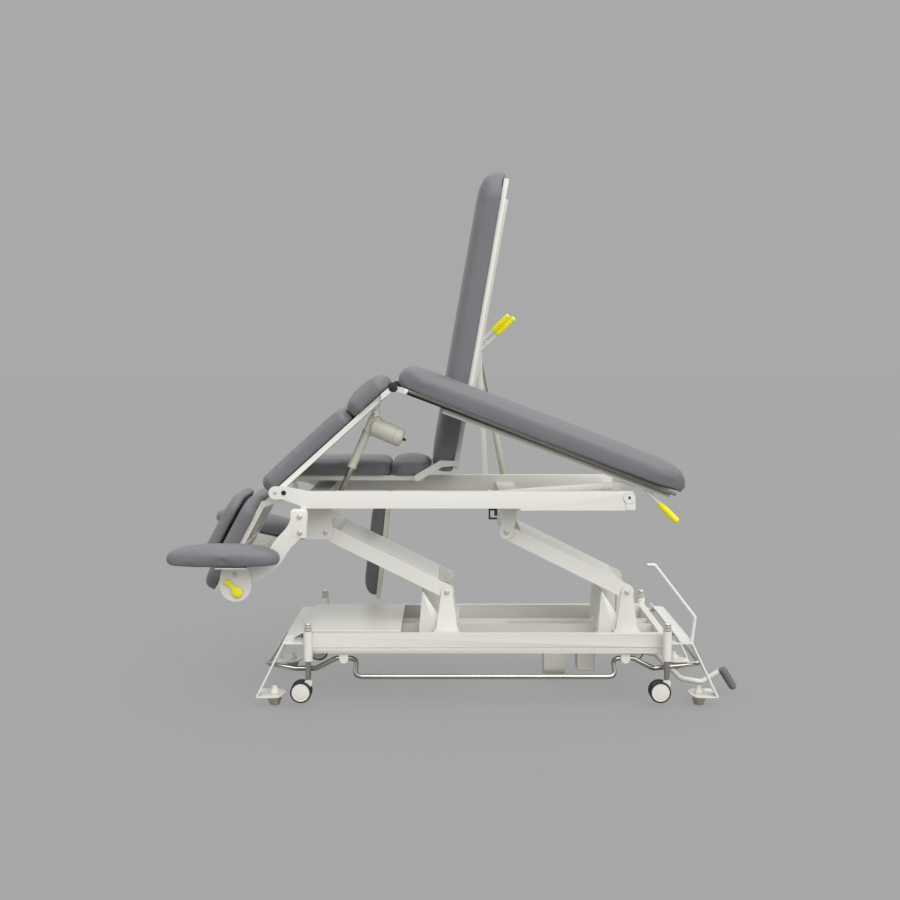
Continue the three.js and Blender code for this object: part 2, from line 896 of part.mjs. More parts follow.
function wheelPair(x, y) {
  const inner = wheelGap / 2;
  const outer = inner + wheelWidth;
  const discs = [];
  for (const sign of [-1, 1]) {
    const profile = [
      [0, inner],
      [wheelRadius - wheelRound, inner],
      [wheelRadius, inner + wheelRound],
      [wheelRadius, outer - wheelRound],
      [wheelRadius - wheelRound, outer],
      [0, outer + seam],
    ].map(([r, z]) => new THREE.Vector2(r, z));
    const disc = new THREE.LatheGeometry(profile, 16);
    if (sign < 0) {
      disc.rotateX(Math.PI);
    }
    discs.push(disc);
  }
  const axle = crossPin(0, 0, -outer, outer, axleRadius);
  return join([discs[0], discs[1], axle]).translate(x - wheelTrail, y, wheelHeight);
}

// Lift arm: an inverted channel with round ends, in world place at rest.
function liftArm(pivotX, withLever) {
  const angle = rad(180 - armAngle);
  const topX = pivotX + armLength * Math.cos(angle);
  const topZ = pedestalPivotHeight + armLength * Math.sin(angle);
  const half = armHeight / 2;
  const outer = plate(linkOutline(pivotX, pedestalPivotHeight, topX, topZ, half), -armSide, armSide);
  const inner = armSide - armWall;
  const along = at(topX - pivotX, 0, topZ - pedestalPivotHeight).normalize();
  const up = at(-along.z, 0, along.x).multiplyScalar(along.x < 0 ? -1 : 1);
  const corner = (distance, lift) => {
    const point = at(pivotX, 0, pedestalPivotHeight).addScaledVector(along, distance).addScaledVector(up,
      lift);
    return new THREE.Vector2(point.x, point.z);
  };
  const roof = half - armWall;
  const reach = armLength + armHeight;
  const hollow = plate(
    [
      corner(-armHeight, -armHeight),
      corner(reach, -armHeight),
      corner(reach, armHeight),
      corner(armLength - armWebStart, armHeight),
      corner(armLength - armWebStart, roof),
      corner(armWebStart, roof),
      corner(armWebStart, armHeight),
      corner(-armHeight, armHeight),
    ],
    -inner,
    inner,
  );
  const bore = pinRadius + boreClearance;
  const bores = [
    crossPin(pivotX, pedestalPivotHeight, -armSide - overrun, armSide + overrun, bore),
    crossPin(topX, topZ, -armSide - overrun, armSide + overrun, bore),
  ];
  const shell = cut(outer, [hollow, ...bores]);
  if (!withLever) {
    return shell;
  }
  return join([shell, ...liftLever(pivotX)]);
}

// Lever plates that turn the foot-end arm, with the cross tube that carries them.
function liftLever(pivotX) {
  const angle = rad(-90 - leverAngle);
  const endX = pivotX + leverLength * Math.cos(angle);
  const endZ = pedestalPivotHeight + leverLength * Math.sin(angle);
  const along = rad(180 - armAngle);
  const tubeX = pivotX + armWebStart * Math.cos(along);
  const tubeZ = pedestalPivotHeight + armWebStart * Math.sin(along);
  const pieces = [crossPin(tubeX, tubeZ, -armSide + armWall / 2, armSide - armWall / 2, pinRadius * 1.5)];
  for (const { sign } of sides) {
    const [y0, y1] = span(sign, leverSide, leverSide + leverWall);
    pieces.push(plate(linkOutline(tubeX, tubeZ, pivotX, pedestalPivotHeight, leverRadius), y0, y1));
    pieces.push(plate(linkOutline(pivotX, pedestalPivotHeight, endX, endZ, leverRadius), y0, y1));
    const [p0, p1] = span(sign, driveEyeWidth / 2 + clearance, leverSide + leverWall / 2);
    pieces.push(crossPin(endX, endZ, p0, p1, pinRadius));
  }
  return pieces;
}

function leverEnd() {
  const angle = rad(-90 - leverAngle);
  return at(footPedestal + leverLength * Math.cos(angle), 0,
    pedestalPivotHeight + leverLength * Math.sin(angle));
}

// Lift drive inside the channel: motor under it, tube and rod in it.
function driveTube() {
  const z = leverEnd().z;
  const tube = rod(at(driveTubeHead, 0, z), at(driveTubeHead + driveTubeLength, 0, z), driveTubeRadius, 16);
  const foot = block(
    driveTubeHead,
    driveTubeHead + driveTubeRadius * 2,
    -driveTubeRadius,
    driveTubeRadius,
    channelBottom + channelWall + clearance,
    z,
  );
  const wall = rod(
    at(driveTubeHead + sheet, 0, z),
    at(driveTubeHead + driveTubeLength + overrun, 0, z),
    driveRodRadius + boreClearance,
  );
  return cut(join([tube, foot]), [wall]);
}

function driveRod() {
  const end = leverEnd();
  const half = driveEyeWidth / 2;
  const start = driveTubeHead + driveTubeLength / 2;
  const bar = rod(at(start, 0, end.z), at(end.x, 0, end.z), driveRodRadius);
  return join([bar, crossPin(end.x, end.z, -half, half, driveEyeRadius)]);
}

function liftMotor() {
  const top = channelBottom - clearance;
  const x1 = driveTubeHead + driveTubeLength - motorSetback;
  const x0 = x1 - motorLength;
  const half = motorWidth / 2;
  const middle = top - motorHeight + half;
  const housing = block(x0, x1, -half, half, middle, top);
  const round = crossPinX(x0, x1, 0, middle, half);
  return join([housing, round]);
}

// A round bar along X.
function crossPinX(x0, x1, y, z, radius) {
  return rod(at(x0, y, z), at(x1, y, z), radius, 16);
}

function controlBox() {
  const top = channelBottom - clearance;
  return block(boxHead, boxHead + boxLength, -boxWidth / 2, boxWidth / 2, top - boxHeight, top);
}

// Pedal for the casters: a bent tube with a rubber pad.
const pedalCorners = pedalReachShares.map((share, i) =>
  at(pedalPivotX + pedalReach * share, pedalY, pedalPivotHeight - pedalDrop * pedalDropShares[i]));

function pedalArm() {
  const tube = bentTube(pedalCorners, pedalRadius, pedalRadius * 3, 2, 8);
  const hub = crossPin(pedalPivotX, pedalPivotHeight, pedalY - pedalRadius * 2, pedalY + pedalRadius * 2,
    pedalRadius * 1.3);
  const bore = crossPin(
    pedalPivotX,
    pedalPivotHeight,
    pedalY - pedalRadius * 3,
    pedalY + pedalRadius * 3,
    pinRadius / 2 + boreClearance,
  );
  return cut(join([tube, hub]), [bore]);
}

function pedalPad() {
  const end = pedalCorners[pedalCorners.length - 1];
  const lean = rad(-58);
  const along = at(Math.cos(lean), 0, Math.sin(lean));
  const start = end.clone().add(at(pedalPadRadius, 0, pedalRadius / 2)).addScaledVector(along,
    -pedalPadRadius / 2);
  const finishPoint = start.clone().addScaledVector(along, pedalPadLength);
  const body = rod(start, finishPoint, pedalPadRadius, 12);
  const tip = new THREE.SphereGeometry(pedalPadRadius, 12, 6).translate(finishPoint.x, finishPoint.y,
    finishPoint.z);
  const socket = bentTube(pedalCorners, pedalRadius + clearance * 2, pedalRadius * 3, 2, 8);
  const shell = cut(join([body, tip]), [socket]);
  return shell;
}

function pedalBracket() {
  const reach = pedalRadius * 2 + seam;
  const pieces = [];
  for (const y of [pedalY - reach - sheet, pedalY + reach]) {
    const shape = linkOutline(pedalPivotX, pedalPivotHeight, pedalPivotX, crossBottom, pedalRadius * 1.6);
    pieces.push(plate(shape, y, y + sheet));
  }
  const roofTop = crossBottom + sheet;
  const roofReach = pedalRadius * 6;
  const halfWidth = pedalRadius * 1.6;
  const bridge = block(
    pedalPivotX - halfWidth,
    pedalPivotX + halfWidth,
    pedalY - reach - sheet,
    pedalY + reach + sheet,
    roofTop - sheet,
    roofTop + sheet,
  );
  pieces.push(bridge);
  pieces.push(crossPin(pedalPivotX, pedalPivotHeight, pedalY - reach - sheet / 2,
    pedalY + reach + sheet / 2, pinRadius / 2));
  const above = block(
    pedalPivotX - roofReach,
    pedalPivotX + roofReach,
    pedalY - roofReach,
    pedalY + roofReach,
    roofTop,
    railTop,
  );
  return cut(join(pieces), [above]);
}

add(table, "base_frame", baseFrame(), whitePaint);
add(table, "head_end_cover", headEndCover(), whitePaint);
add(table, "foot_end_ledge", footEndLedge(), whitePaint);
add(table, "foot_bar", footBar(), chrome);
add(table, "lift_arm_head", liftArm(headPedestal, false), whitePaint);
add(table, "lift_arm_foot", liftArm(footPedestal, true), whitePaint);
add(table, "lift_drive_tube", driveTube(), greyPlastic);
add(table, "lift_drive_rod", driveRod(), chrome);
add(table, "lift_motor", liftMotor(), greyPlastic);
add(table, "control_box", controlBox(), whitePaint);
add(table, "pedal_arm", pedalArm(), whitePaint);
add(table, "pedal_pad", pedalPad(), greyRubber);

for (const { name, sign } of sides) {
  add(table, `head_foot_${name}`, levellingFoot(footCentre(sign, -1, legHead)), chrome);
  add(table, `foot_foot_${name}`, levellingFoot(footCentre(sign, 1, legFoot)), chrome);
  for (const [end, x] of [["head", casterHead], ["foot", casterFoot]]) {
    const y = sign * casterSide;
    add(table, `caster_post_${end}_${name}`, casterPost(x, y), chrome);
    add(table, `caster_fork_${end}_${name}`, casterFork(x, y), chrome);
    add(table, `caster_wheel_${end}_${name}`, wheelPair(x, y), blackRubber);
  }
}

// Upper frame: rails, cross tubes, pivot plates, lift brackets and lugs.
const armTopX = (pivotX) => pivotX - armRun;

function pivotPlate(sign) {
  const [y0, y1] = span(sign, frameSide - bracketWall, frameSide);
  const radius = lugRadius + overrun;
  const plates = [
    plate(linkOutline(headPivotX, seatPivotHeight, seatPivotX, seatPivotHeight, radius), y0, y1),
    plate(linkOutline(seatPivotX, seatPivotHeight, frameHead + frameHeight / 2,
      frameBottom + frameHeight / 2,
      radius, frameHeight / 2), y0, y1),
  ];
  const headBore = crossPin(headPivotX, seatPivotHeight, y0 - overrun, y1 + overrun,
    headShaftRadius + boreClearance);
  const [p0, p1] = span(sign, frameSide - bracketWall * 3, frameSide);
  return join([cut(join(plates), [headBore]), crossPin(seatPivotX, seatPivotHeight, p0, p1, pinRadius)]);
}

// Plates that hang from a cross tube and hold the top of a lift arm.
function liftBracket(sign, pivotX, topX0, topX1) {
  const [y0, y1] = span(sign, pedestalInner, pedestalInner + bracketWall);
  const radius = pedestalTopRadius + sheet;
  const shape = new THREE.Shape();
  shape.moveTo(topX0, frameCrossBottom + overrun);
  shape.lineTo(topX0, armTopHeight + radius * (topX0 < pivotX - radius * 2 ? -1 : 1));
  shape.absarc(pivotX, armTopHeight, radius, topX0 < pivotX - radius * 2 ? -Math.PI / 2 : -Math.PI, 0,
    false);
  shape.lineTo(topX1, frameCrossBottom + overrun);
  shape.closePath();
  const [p0, p1] = span(sign, armSide - armWall * 2, pedestalInner + bracketWall);
  return join([plate(shape, y0, y1), crossPin(pivotX, armTopHeight, p0, p1, pinRadius)]);
}

function crossTube(x0, length) {
  const reach = frameSide - overrun;
  return block(x0, x0 + length, -reach, reach, frameCrossBottom, frameCrossTop);
}

// Block under a rail that carries a curved arm.
function armSeat(sign) {
  const [y0, y1] = span(sign, frameSide - frameRailWidth, curvedArmInner + overrun);
  const half = curvedArmWidth / 2 - sheet;
  return block(curvedArmX - half, curvedArmX + half, y0, y1, curvedArmTop - frameHeight * 1.5,
    frameBottom - clearance);
}

// Two lugs with stub pins on either side of a linkage eye.
function strutLug(x, z, y0, y1, wallY, inward) {
  const plateSpan = inward > 0 ? [wallY, wallY + bracketWall] : [wallY - bracketWall, wallY];
  const toTube = linkOutline(x, z, middleCrossHead + middleCrossLength / 2, frameCrossTop - lugRadius,
    lugRadius * 0.8);
  return [plate(toTube, plateSpan[0], plateSpan[1]), crossPin(x, z, y0, y1, pinRadius)];
}

function upperFrame() {
  const pieces = [];
  for (const { sign } of sides) {
    const [y0, y1] = span(sign, frameSide - frameRailWidth, frameSide);
    pieces.push(block(frameHead, frameFoot, y0, y1, frameBottom, frameTop));
    pieces.push(block(lipHead, lipFoot, y0, y1, frameBottom - lipHeight, frameBottom + overrun));
    pieces.push(pivotPlate(sign));
    const [d0, d1] = span(sign, frameSide - overrun, frameSide + endDiscWidth);
    pieces.push(crossPin(endDiscX, endDiscHeight, d0, d1, endDiscRadius, 18));
    const drop = endDiscRadius;
    const lowEnd = block(endDiscX - drop / 2, endDiscX + drop, d0, d1, frameBottom - overrun,
      endDiscHeight);
    pieces.push(lowEnd);
    const headTop = armTopX(headPedestal);
    pieces.push(liftBracket(sign, headTop, Math.min(frameHead, headTop - pedestalTopRadius) - sheet,
      headTop + pedestalTopRadius));
    const footTop = armTopX(footPedestal);
    pieces.push(liftBracket(sign, footTop, footTop - pedestalTopRadius, footTop + pedestalBase / 2));
  }
  pieces.push(crossTube(frameHead, headCrossLength));
  pieces.push(crossTube(middleCrossHead, middleCrossLength));
  pieces.push(crossTube(frameFoot - footCrossLength, footCrossLength));
  const nearEye = -nearStripSide + strutWall * 2;
  pieces.push(...strutLug(strutPivotX, strutPivotHeight, nearEye - strutWall,
    nearEye + bracketWall + seam, nearEye + seam, 1));
  const farOut = farStripSide + stripWidth + strutWall * 2;
  pieces.push(crossPin(strutPivotX, strutPivotHeight, frameSide - overrun, farOut, pinRadius));
  pieces.push(crossPin(gasPivotX, gasPivotHeight, frameSide - overrun, gasSide + gasCylinderRadius / 2,
    pinRadius / 2));
  for (const side of [-1, 1]) {
    const inner = actuatorY + side * (driveEyeWidth / 2 + clearance + bracketWall / 2);
    const y0 = Math.min(inner, inner + side * bracketWall);
    const centreX = frameHead + headCrossLength;
    const shape = linkOutline(centreX, frameCrossTop - lugRadius, actuatorLowerX, actuatorLowerHeight,
      lugRadius, lugRadius * 0.9);
    pieces.push(plate(shape, y0, y0 + bracketWall));
    const stub = Math.min(actuatorY + side * (driveEyeWidth / 2 + clearance), inner + side * bracketWall);
    const stubLength = bracketWall * 1.5;
    pieces.push(crossPin(actuatorLowerX, actuatorLowerHeight, stub, stub + stubLength, pinRadius * 0.8));
  }
  pieces.push(...flapCarrier());
  return join(pieces);
}

// Lug and rod on the far rail that the side flap hangs from.
function flapCarrier() {
  const lugTop = frameBottom + overrun;
  const reach = lugRadius;
  const lug = plate(
    linkOutline(flapX, flapHeight, flapX, lugTop, reach),
    frameSide - frameRailWidth / 2,
    frameSide + bracketWall,
  );
  const hinge = crossPin(flapX, flapHeight, frameSide - frameRailWidth / 2, flapInner + flapWidth,
    flapRodRadius);
  return [lug, hinge];
}

// A ring frame under a pad: two side members, a middle one and cross members, in section axes.
function sectionRing(x0, x1, y0, y1, z0, z1, crossPlaces) {
  const pieces = [
    block(x0, x1, y0, y0 + memberWidth, z0, z1),
    block(x0, x1, y1 - memberWidth, y1, z0, z1),
  ];
  for (const place of crossPlaces) {
    pieces.push(block(place, place + memberWidth, y0 + overrun, y1 - overrun, z0, z1));
  }
  const middle = (y0 + y1) / 2;
  pieces.push(block(x0, x1, middle - memberWidth / 2, middle + memberWidth / 2, z0, z1));
  return pieces;
}

const laneSpan = { near: [-laneGap - laneWidth, -laneGap], far: [laneGap, laneGap + laneWidth] };

// Each lane's section hinge and pads. The far hinge lies beside the pads, so that they clear it upright.
const lanes = {
  near: {
    outward: -1,
    hinge: at(nearHingeAlong, 0, nearHingeLift),
    seatEnd: nearSeatEnd,
    padStart: nearPadStart,
    padEnd: nearLongPad,
    eyeRadius: lugRadius / 2,
  },
  far: {
    outward: 1,
    hinge: at(farHingeAlong, 0, farHingeLift),
    seatEnd: farSeatEnd,
    padStart: farPadStart,
    padEnd: farLongPad,
    eyeRadius: lugRadius * 0.7,
  },
};

// Planes of the two section hinges of a lane: the seat plate and the long-frame plate beside it.
function hingePlanes(lane) {
  const [y0, y1] = laneSpan[lane];
  const thin = laneGap * 0.5;
  if (lane === "near") {
    return [
      { seat: [y0 + bracketWall, y0 + 2 * bracketWall], long: [y0 + 2 * bracketWall + seam,
        y0 + 3 * bracketWall] },
      { seat: [y1 - 2 * bracketWall, y1 - bracketWall], long: [y1 - 3 * bracketWall,
        y1 - 2 * bracketWall - seam] },
    ];
  }
  return [
    { seat: [y0 - laneGap - thin, y0 - laneGap + seam], long: [y0 - laneGap + seam * 2, y0 - clearance] },
    { seat: [y1 + seam, y1 + laneGap], long: [y1 + laneGap + seam, y1 + laneGap * 2] },
  ];
}

// A block that ties a ring frame to a plate beside it.
function tie(x0, x1, z0, z1, ringSide, plateSpan) {
  return block(x0, x1, Math.min(ringSide, plateSpan[0]), Math.max(ringSide, plateSpan[1]), z0, z1);
}

// Thigh or seat frame, with pivot lugs at its head end and hinge plates at its foot end.
function thighFrame(lane) {
  const [y0, y1] = laneSpan[lane];
  const { outward, hinge, seatEnd, eyeRadius } = lanes[lane];
  const top = padLift - clearance;
  const bottom = top - sectionMember;
  const start = -lugRadius / 2;
  const end = seatEnd - memberWidth;
  const inset = memberWidth;
  const ring = sectionRing(start, end, y0 + inset, y1 - inset, bottom, top,
    [start, narrowEnd - memberWidth, end - memberWidth]);
  const plateOuter = frameSide - bracketWall - seam;
  const [l0, l1] = span(outward, plateOuter - bracketWall, plateOuter);
  const lug = plate(linkOutline(0, 0, 0, top - lugRadius / 2, lugRadius, lugRadius / 2), l0, l1);
  ring.push(cut(lug, [crossPin(0, 0, l0 - overrun, l1 + overrun, pinRadius + boreClearance)]));
  hingePlanes(lane).forEach((plane, index) => {
    const ringSide = index === 0 ? y0 + inset + overrun : y1 - inset - overrun;
    const foot = end - eyeRadius;
    ring.push(tie(foot - memberWidth, foot, bottom, bottom + sectionMember / 2, ringSide, plane.seat));
    ring.push(plate(linkOutline(foot - eyeRadius, bottom + eyeRadius, hinge.x, hinge.z, eyeRadius),
      ...plane.seat));
    const reach = [...plane.seat, ...plane.long];
    ring.push(crossPin(hinge.x, hinge.z, Math.min(...reach), Math.max(...reach), pinRadius / 2));
  });
  return ring;
}

// Clevis under the near thigh frame for the top of the actuator.
function clevis() {
  const [y0, y1] = laneSpan.near;
  const top = padLift - clearance;
  const bottom = top - sectionMember;
  const foot = lugRadius * 2;
  const pieces = [
    block(actuatorTopAlong - foot, actuatorTopAlong + foot, actuatorY - gearboxWidth,
      actuatorY + gearboxWidth,
      bottom + seam, top),
    block(actuatorTopAlong - memberWidth / 2, actuatorTopAlong + memberWidth / 2, y0 + memberWidth,
      y1 - memberWidth,
      bottom + seam, top),
  ];
  for (const side of [-1, 1]) {
    const inner = actuatorY + side * (gearboxWidth / 2 + clearance * 2);
    const p0 = Math.min(inner, inner + side * bracketWall);
    const shape = new THREE.Shape();
    shape.moveTo(actuatorTopAlong - foot, bottom + overrun);
    shape.absarc(actuatorTopAlong, actuatorTopLift, lugRadius * 0.8, Math.PI * 1.15, Math.PI * 1.85, false);
    shape.lineTo(actuatorTopAlong + foot, bottom + overrun);
    shape.closePath();
    pieces.push(plate(shape, p0, p0 + bracketWall));
    const stub = [inner - side * bracketWall, inner + side * bracketWall].sort((a, b) => a - b);
    pieces.push(crossPin(actuatorTopAlong, actuatorTopLift, stub[0], stub[1], pinRadius / 2));
  }
  return pieces;
}

// Long frame in its own axes from the hinge, with the guide strip for the strut.
function longFrame(lane) {
  const [y0, y1] = laneSpan[lane];
  const { hinge, padStart, padEnd, eyeRadius } = lanes[lane];
  const top = padLift - hinge.z - clearance;
  const bottom = top - sectionMember;
  const inset = memberWidth;
  const start = padStart + memberWidth;
  const end = padEnd - memberWidth * 1.5;
  const third = (end - start) / 3;
  const ring = sectionRing(start, end, y0 + inset, y1 - inset, bottom, top,
    [start, start + third, start + 2 * third, end - memberWidth]);
  hingePlanes(lane).forEach((plane, index) => {
    const ringSide = index === 0 ? y0 + inset + overrun : y1 - inset - overrun;
    const foot = start + eyeRadius * 2;
    const shape = linkOutline(0, 0, foot, (top + bottom) / 2, eyeRadius, sectionMember / 2);
    const eye = crossPin(0, 0, plane.long[0] - overrun, plane.long[1] + overrun,
      pinRadius / 2 + boreClearance);
    ring.push(cut(plate(shape, ...plane.long), [eye]));
    ring.push(tie(foot - sectionMember / 2, foot + sectionMember / 2, bottom, top, ringSide, plane.long));
  });
  const side = lane === "near" ? -nearStripSide - stripWidth : farStripSide;
  ring.push(block(stripStart, stripEnd, side, side + stripWidth, bottom - stripHeight, bottom + overrun));
  if (lane === "near") {
    ring.push(block(stripStart, stripEnd, y0 + inset + overrun, side + stripWidth, bottom, top));
  } else {
    ring.push(block(stripStart, stripEnd, y1 - inset - overrun, side + stripWidth, bottom, top));
  }
  return join(ring);
}

// Strut in its own axes: pivot at the origin, top pin along +X.
function strut(y0, length, blockInner) {
  const y1 = y0 + strutWall;
  const half = strutWidth / 2;
  const bar = plate(linkOutline(0, 0, length, 0, half), y0, y1);
  const slider = block(length - half * 2, length + half, Math.min(y0, blockInner), Math.max(y1,
    blockInner), -half, half);
  const bore = crossPin(0, 0, y0 - overrun, y1 + overrun, pinRadius + boreClearance);
  return cut(join([bar, slider]), [bore]);
}

// Release handle: a thin rod that ends in a grip, in strut axes.
function releaseHandle(length, y) {
  const lean = rad(handleAngle);
  const along = at(Math.cos(lean), 0, Math.sin(lean));
  const start = at(length + strutWidth / 2 + clearance, y, -strutWidth / 2);
  const rodEnd = start.clone().addScaledVector(along, handleRodLength);
  const gripEnd = rodEnd.clone().addScaledVector(along, gripLength);
  const bar = rod(start, gripEnd, handleRod, 8);
  const body = rod(rodEnd, gripEnd, gripRadius, 12);
  const tip = new THREE.SphereGeometry(gripRadius, 12, 6).translate(gripEnd.x, gripEnd.y, gripEnd.z);
  return join([bar, body, tip]);
}

const frame = upperFrame();
add(table, "upper_frame", frame, whitePaint);

// Curved arms with their clamped armrests
function curvedArm(sign) {
  const [y0, y1] = span(sign, curvedArmInner, curvedArmInner + curvedArmWall);
  const drop = curvedArmTop - armrestPivotHeight;
  const reach = curvedArmX - armrestPivotX;
  const routeShares = [[0, 0], [0, 0.28], [0.14, 0.47], [0.3, 0.69], [0.59, 0.89], [0.86, 0.99], [1, 1.04]];
  const centres = routeShares.map(([ax, az]) => new THREE.Vector2(curvedArmX - ax * reach,
    curvedArmTop - az * drop));
  const spline = new THREE.SplineCurve(centres);
  const steps = 11;
  const half = curvedArmWidth / 2;
  const left = [];
  const right = [];
  for (let step = 0; step <= steps; step += 1) {
    const point = spline.getPoint(step / steps);
    const tangent = spline.getTangent(step / steps);
    left.push(new THREE.Vector2(point.x - tangent.y * half, point.y + tangent.x * half));
    right.push(new THREE.Vector2(point.x + tangent.y * half, point.y - tangent.x * half));
  }
  const ribbon = plate([...left, ...right.reverse()], y0, y1);
  const boss = crossPin(armrestPivotX, armrestPivotHeight, y0, y1, armBossRadius, 20);
  const [p0, p1] = span(sign, curvedArmInner + overrun, curvedArmInner + curvedArmWall + discWidth / 2);
  return join([ribbon, boss, armSeat(sign), crossPin(armrestPivotX, armrestPivotHeight, p0, p1,
    pinRadius)]);
}

// Egg-shaped bracket that tilts with the armrest, in armrest axes.
function discBracket(sign) {
  const inner = curvedArmInner + curvedArmWall + clearance * 2;
  const [y0, y1] = span(sign, inner, inner + discWidth);
  const neckTop = armrestLift - clearance;
  const shape = new THREE.Shape();
  shape.absarc(0, -discDrop, discRadius, Math.PI, 0, false);
  shape.quadraticCurveTo(discRadius, neckTop - discNeck, discNeck, neckTop);
  shape.lineTo(-discNeck, neckTop);
  shape.quadraticCurveTo(-discRadius, neckTop - discNeck, -discRadius, -discDrop);
  shape.closePath();
  const blind = span(sign, inner - overrun, inner + discWidth / 2 + seam);
  const [f0, f1] = span(sign, inner + overrun, armrestInner + armrestWidth - discWidth);
  const flange = block(-discNeck * 1.4, discNeck * 1.4, f0, f1, neckTop - sheet, neckTop);
  return cut(join([plate(shape, y0, y1, 8), flange]), [crossPin(0, 0, blind[0], blind[1],
    pinRadius + boreClearance)]);
}

function clampLever(sign) {
  const inner = curvedArmInner + curvedArmWall + clearance * 2 + discWidth + clearance;
  const [y0, y1] = span(sign, inner, inner + clampWall);
  const endX = -clampOffset + clampLength * 0.7;
  const endZ = -clampLength * 0.72;
  return plate(linkOutline(-clampOffset, 0, endX, endZ, clampRadius, clampBall), y0, y1);
}

for (const { name, sign } of sides) {
  add(table, `curved_arm_${name}`, curvedArm(sign), whitePaint);
  const rest = turned(table, armrestPivotX, armrestPivotHeight, sign > 0 ? -farArmrestTilt : 0);
  add(rest, `armrest_bracket_${name}`, discBracket(sign), whitePaint);
  add(rest, `armrest_lever_${name}`, clampLever(sign), yellowPlastic);
  const [y0, y1] = span(sign, armrestInner, armrestInner + armrestWidth);
  const pad = cushion(armrestHead, armrestFoot, y0, y1, armrestLift, armrestThickness, armrestCrown,
    armrestWidth * 0.42, armrestThickness * 0.55);
  add(rest, `armrest_pad_${name}`, pad, upholstery);
}

// Head section: a ring frame on a shaft, two side pads and a raised face cushion between them.
const head = turned(table, headPivotX, seatPivotHeight, headTilt);

function headFrame() {
  const top = headPadLift - clearance;
  const bottom = top - sectionMember;
  const start = headRingStart;
  const ring = sectionRing(-headFrameEnd, -start, -headFrameSide, headFrameSide, bottom, top,
    [-headFrameEnd, -(headFrameEnd + start) / 2, -start - memberWidth]);
  const shaftEnd = frameSide - clearance;
  ring.push(crossPin(0, 0, -shaftEnd, shaftEnd, headShaftRadius));
  for (const { sign } of sides) {
    const [y0, y1] = span(sign, headFrameSide - bracketWall, headFrameSide);
    ring.push(plate(linkOutline(-headNeck, -headNeck, 0, 0, lugRadius / 2, headShaftRadius + seam), y0,
      y1));
    ring.push(plate(linkOutline(-start - overrun, bottom + overrun, -headNeck, -headNeck, lugRadius / 2),
      y0, y1));
  }
  return join(ring);
}

function headPad() {
  return cushion(-headPadEnd, -headPadStart, -headPadSide, headPadSide, headPadLift, headPadThickness,
    padCrown,
    padCorner * 2.4, padEdge);
}

function facePad() {
  const z = headPadLift + headPadThickness + padCrown + clearance;
  return cushion(-facePadEnd, -headPadStart - padCorner, -facePadSide, facePadSide, z, facePadThickness,
    padCrown,
    padCorner * 2.4, padEdge);
}

add(head, "head_frame", headFrame(), whitePaint);
add(head, "head_pad", headPad(), upholstery);
add(head, "face_cushion", facePad(), upholstery);

// Thigh and seat sections with their cushions
function addSeatPads(parent, lane) {
  const [y0, y1] = laneSpan[lane];
  const narrow = lane === "near" ? [y0 + narrowInset, y1] : [y0, y1 - narrowInset];
  const { seatEnd } = lanes[lane];
  add(parent, `${lane}_narrow_cushion`,
    cushion(narrowStart, narrowEnd - seam / 2, narrow[0], narrow[1], padLift, padThickness,
      padCrown * 0.6), upholstery);
  add(parent, `${lane}_wide_cushion`,
    cushion(narrowEnd + seam / 2, seatEnd, y0, y1, padLift, padThickness, padCrown), upholstery);
}

function addLongSection(parent, lane, angle) {
  const { hinge, padStart, padEnd } = lanes[lane];
  const long = turned(parent, hinge.x, hinge.z, angle);
  const [y0, y1] = laneSpan[lane];
  add(long, `${lane}_long_frame`, longFrame(lane), whitePaint);
  add(long, `${lane}_long_pad`,
    cushion(padStart, padEnd, y0, y1, padLift - hinge.z, longPadThickness, padCrown, padCorner * 1.5,
      padEdge * 1.3),
    upholstery);
}

const thigh = turned(table, seatPivotX, seatPivotHeight, thighRise);
add(thigh, "near_thigh_frame", join([...thighFrame("near"), ...clevis()]), whitePaint);
addSeatPads(thigh, "near");
addLongSection(thigh, "near", -(thighRise + longSlope));

const seat = turned(table, seatPivotX, seatPivotHeight, 0);
add(seat, "far_seat_frame", join(thighFrame("far")), whitePaint);
addSeatPads(seat, "far");
addLongSection(seat, "far", farLongRise);

// Struts
function addStrut(lane, angle, length, y0, blockInner) {
  const group = turned(table, strutPivotX, strutPivotHeight, angle);
  add(group, `${lane}_strut`, strut(y0, length, blockInner), whitePaint);
  add(group, `${lane}_release_handle`, releaseHandle(length, y0 + strutWall / 2), yellowPlastic);
}
addStrut("near", nearStrutAngle, strutLength, -nearStripSide + seam * 3, -nearStripSide + seam);
addStrut("far", farStrutAngle, farStrutLength, farStripSide + stripWidth + seam * 3,
  farStripSide + stripWidth + seam);

// Gas spring of the far lane, in its own axes
const gas = turned(table, gasPivotX, gasPivotHeight, gasAngle);

function gasCylinder() {
  const eye = crossPin(0, 0, gasSide - gasCylinderRadius, gasSide + gasCylinderRadius, gasEyeRadius);
  const body = rod(at(gasEyeRadius / 2, gasSide, 0), at(gasCylinderLength, gasSide, 0), gasCylinderRadius,
    14);
  const tunnel = rod(at(gasEyeRadius * 2, gasSide, 0), at(gasCylinderLength + overrun, gasSide, 0),
    gasRodRadius + boreClearance, 8);
  const bore = crossPin(0, 0, gasSide - gasEyeRadius * 2, gasSide + gasEyeRadius * 2,
    pinRadius / 2 + boreClearance);
  return cut(join([eye, body]), [tunnel, bore]);
}

function gasRod() {
  const start = gasCylinderLength * 0.55;
  const bar = rod(at(start, gasSide, 0), at(gasLength, gasSide, 0), gasRodRadius, 8);
  const eyeWidth = gasEyeRadius * 0.8;
  return join([bar, crossPin(gasLength, 0, gasSide - eyeWidth, gasSide + eyeWidth, gasEyeRadius * 0.9)]);
}
add(gas, "gas_cylinder", gasCylinder(), greyPlastic);
add(gas, "gas_rod", gasRod(), chrome);

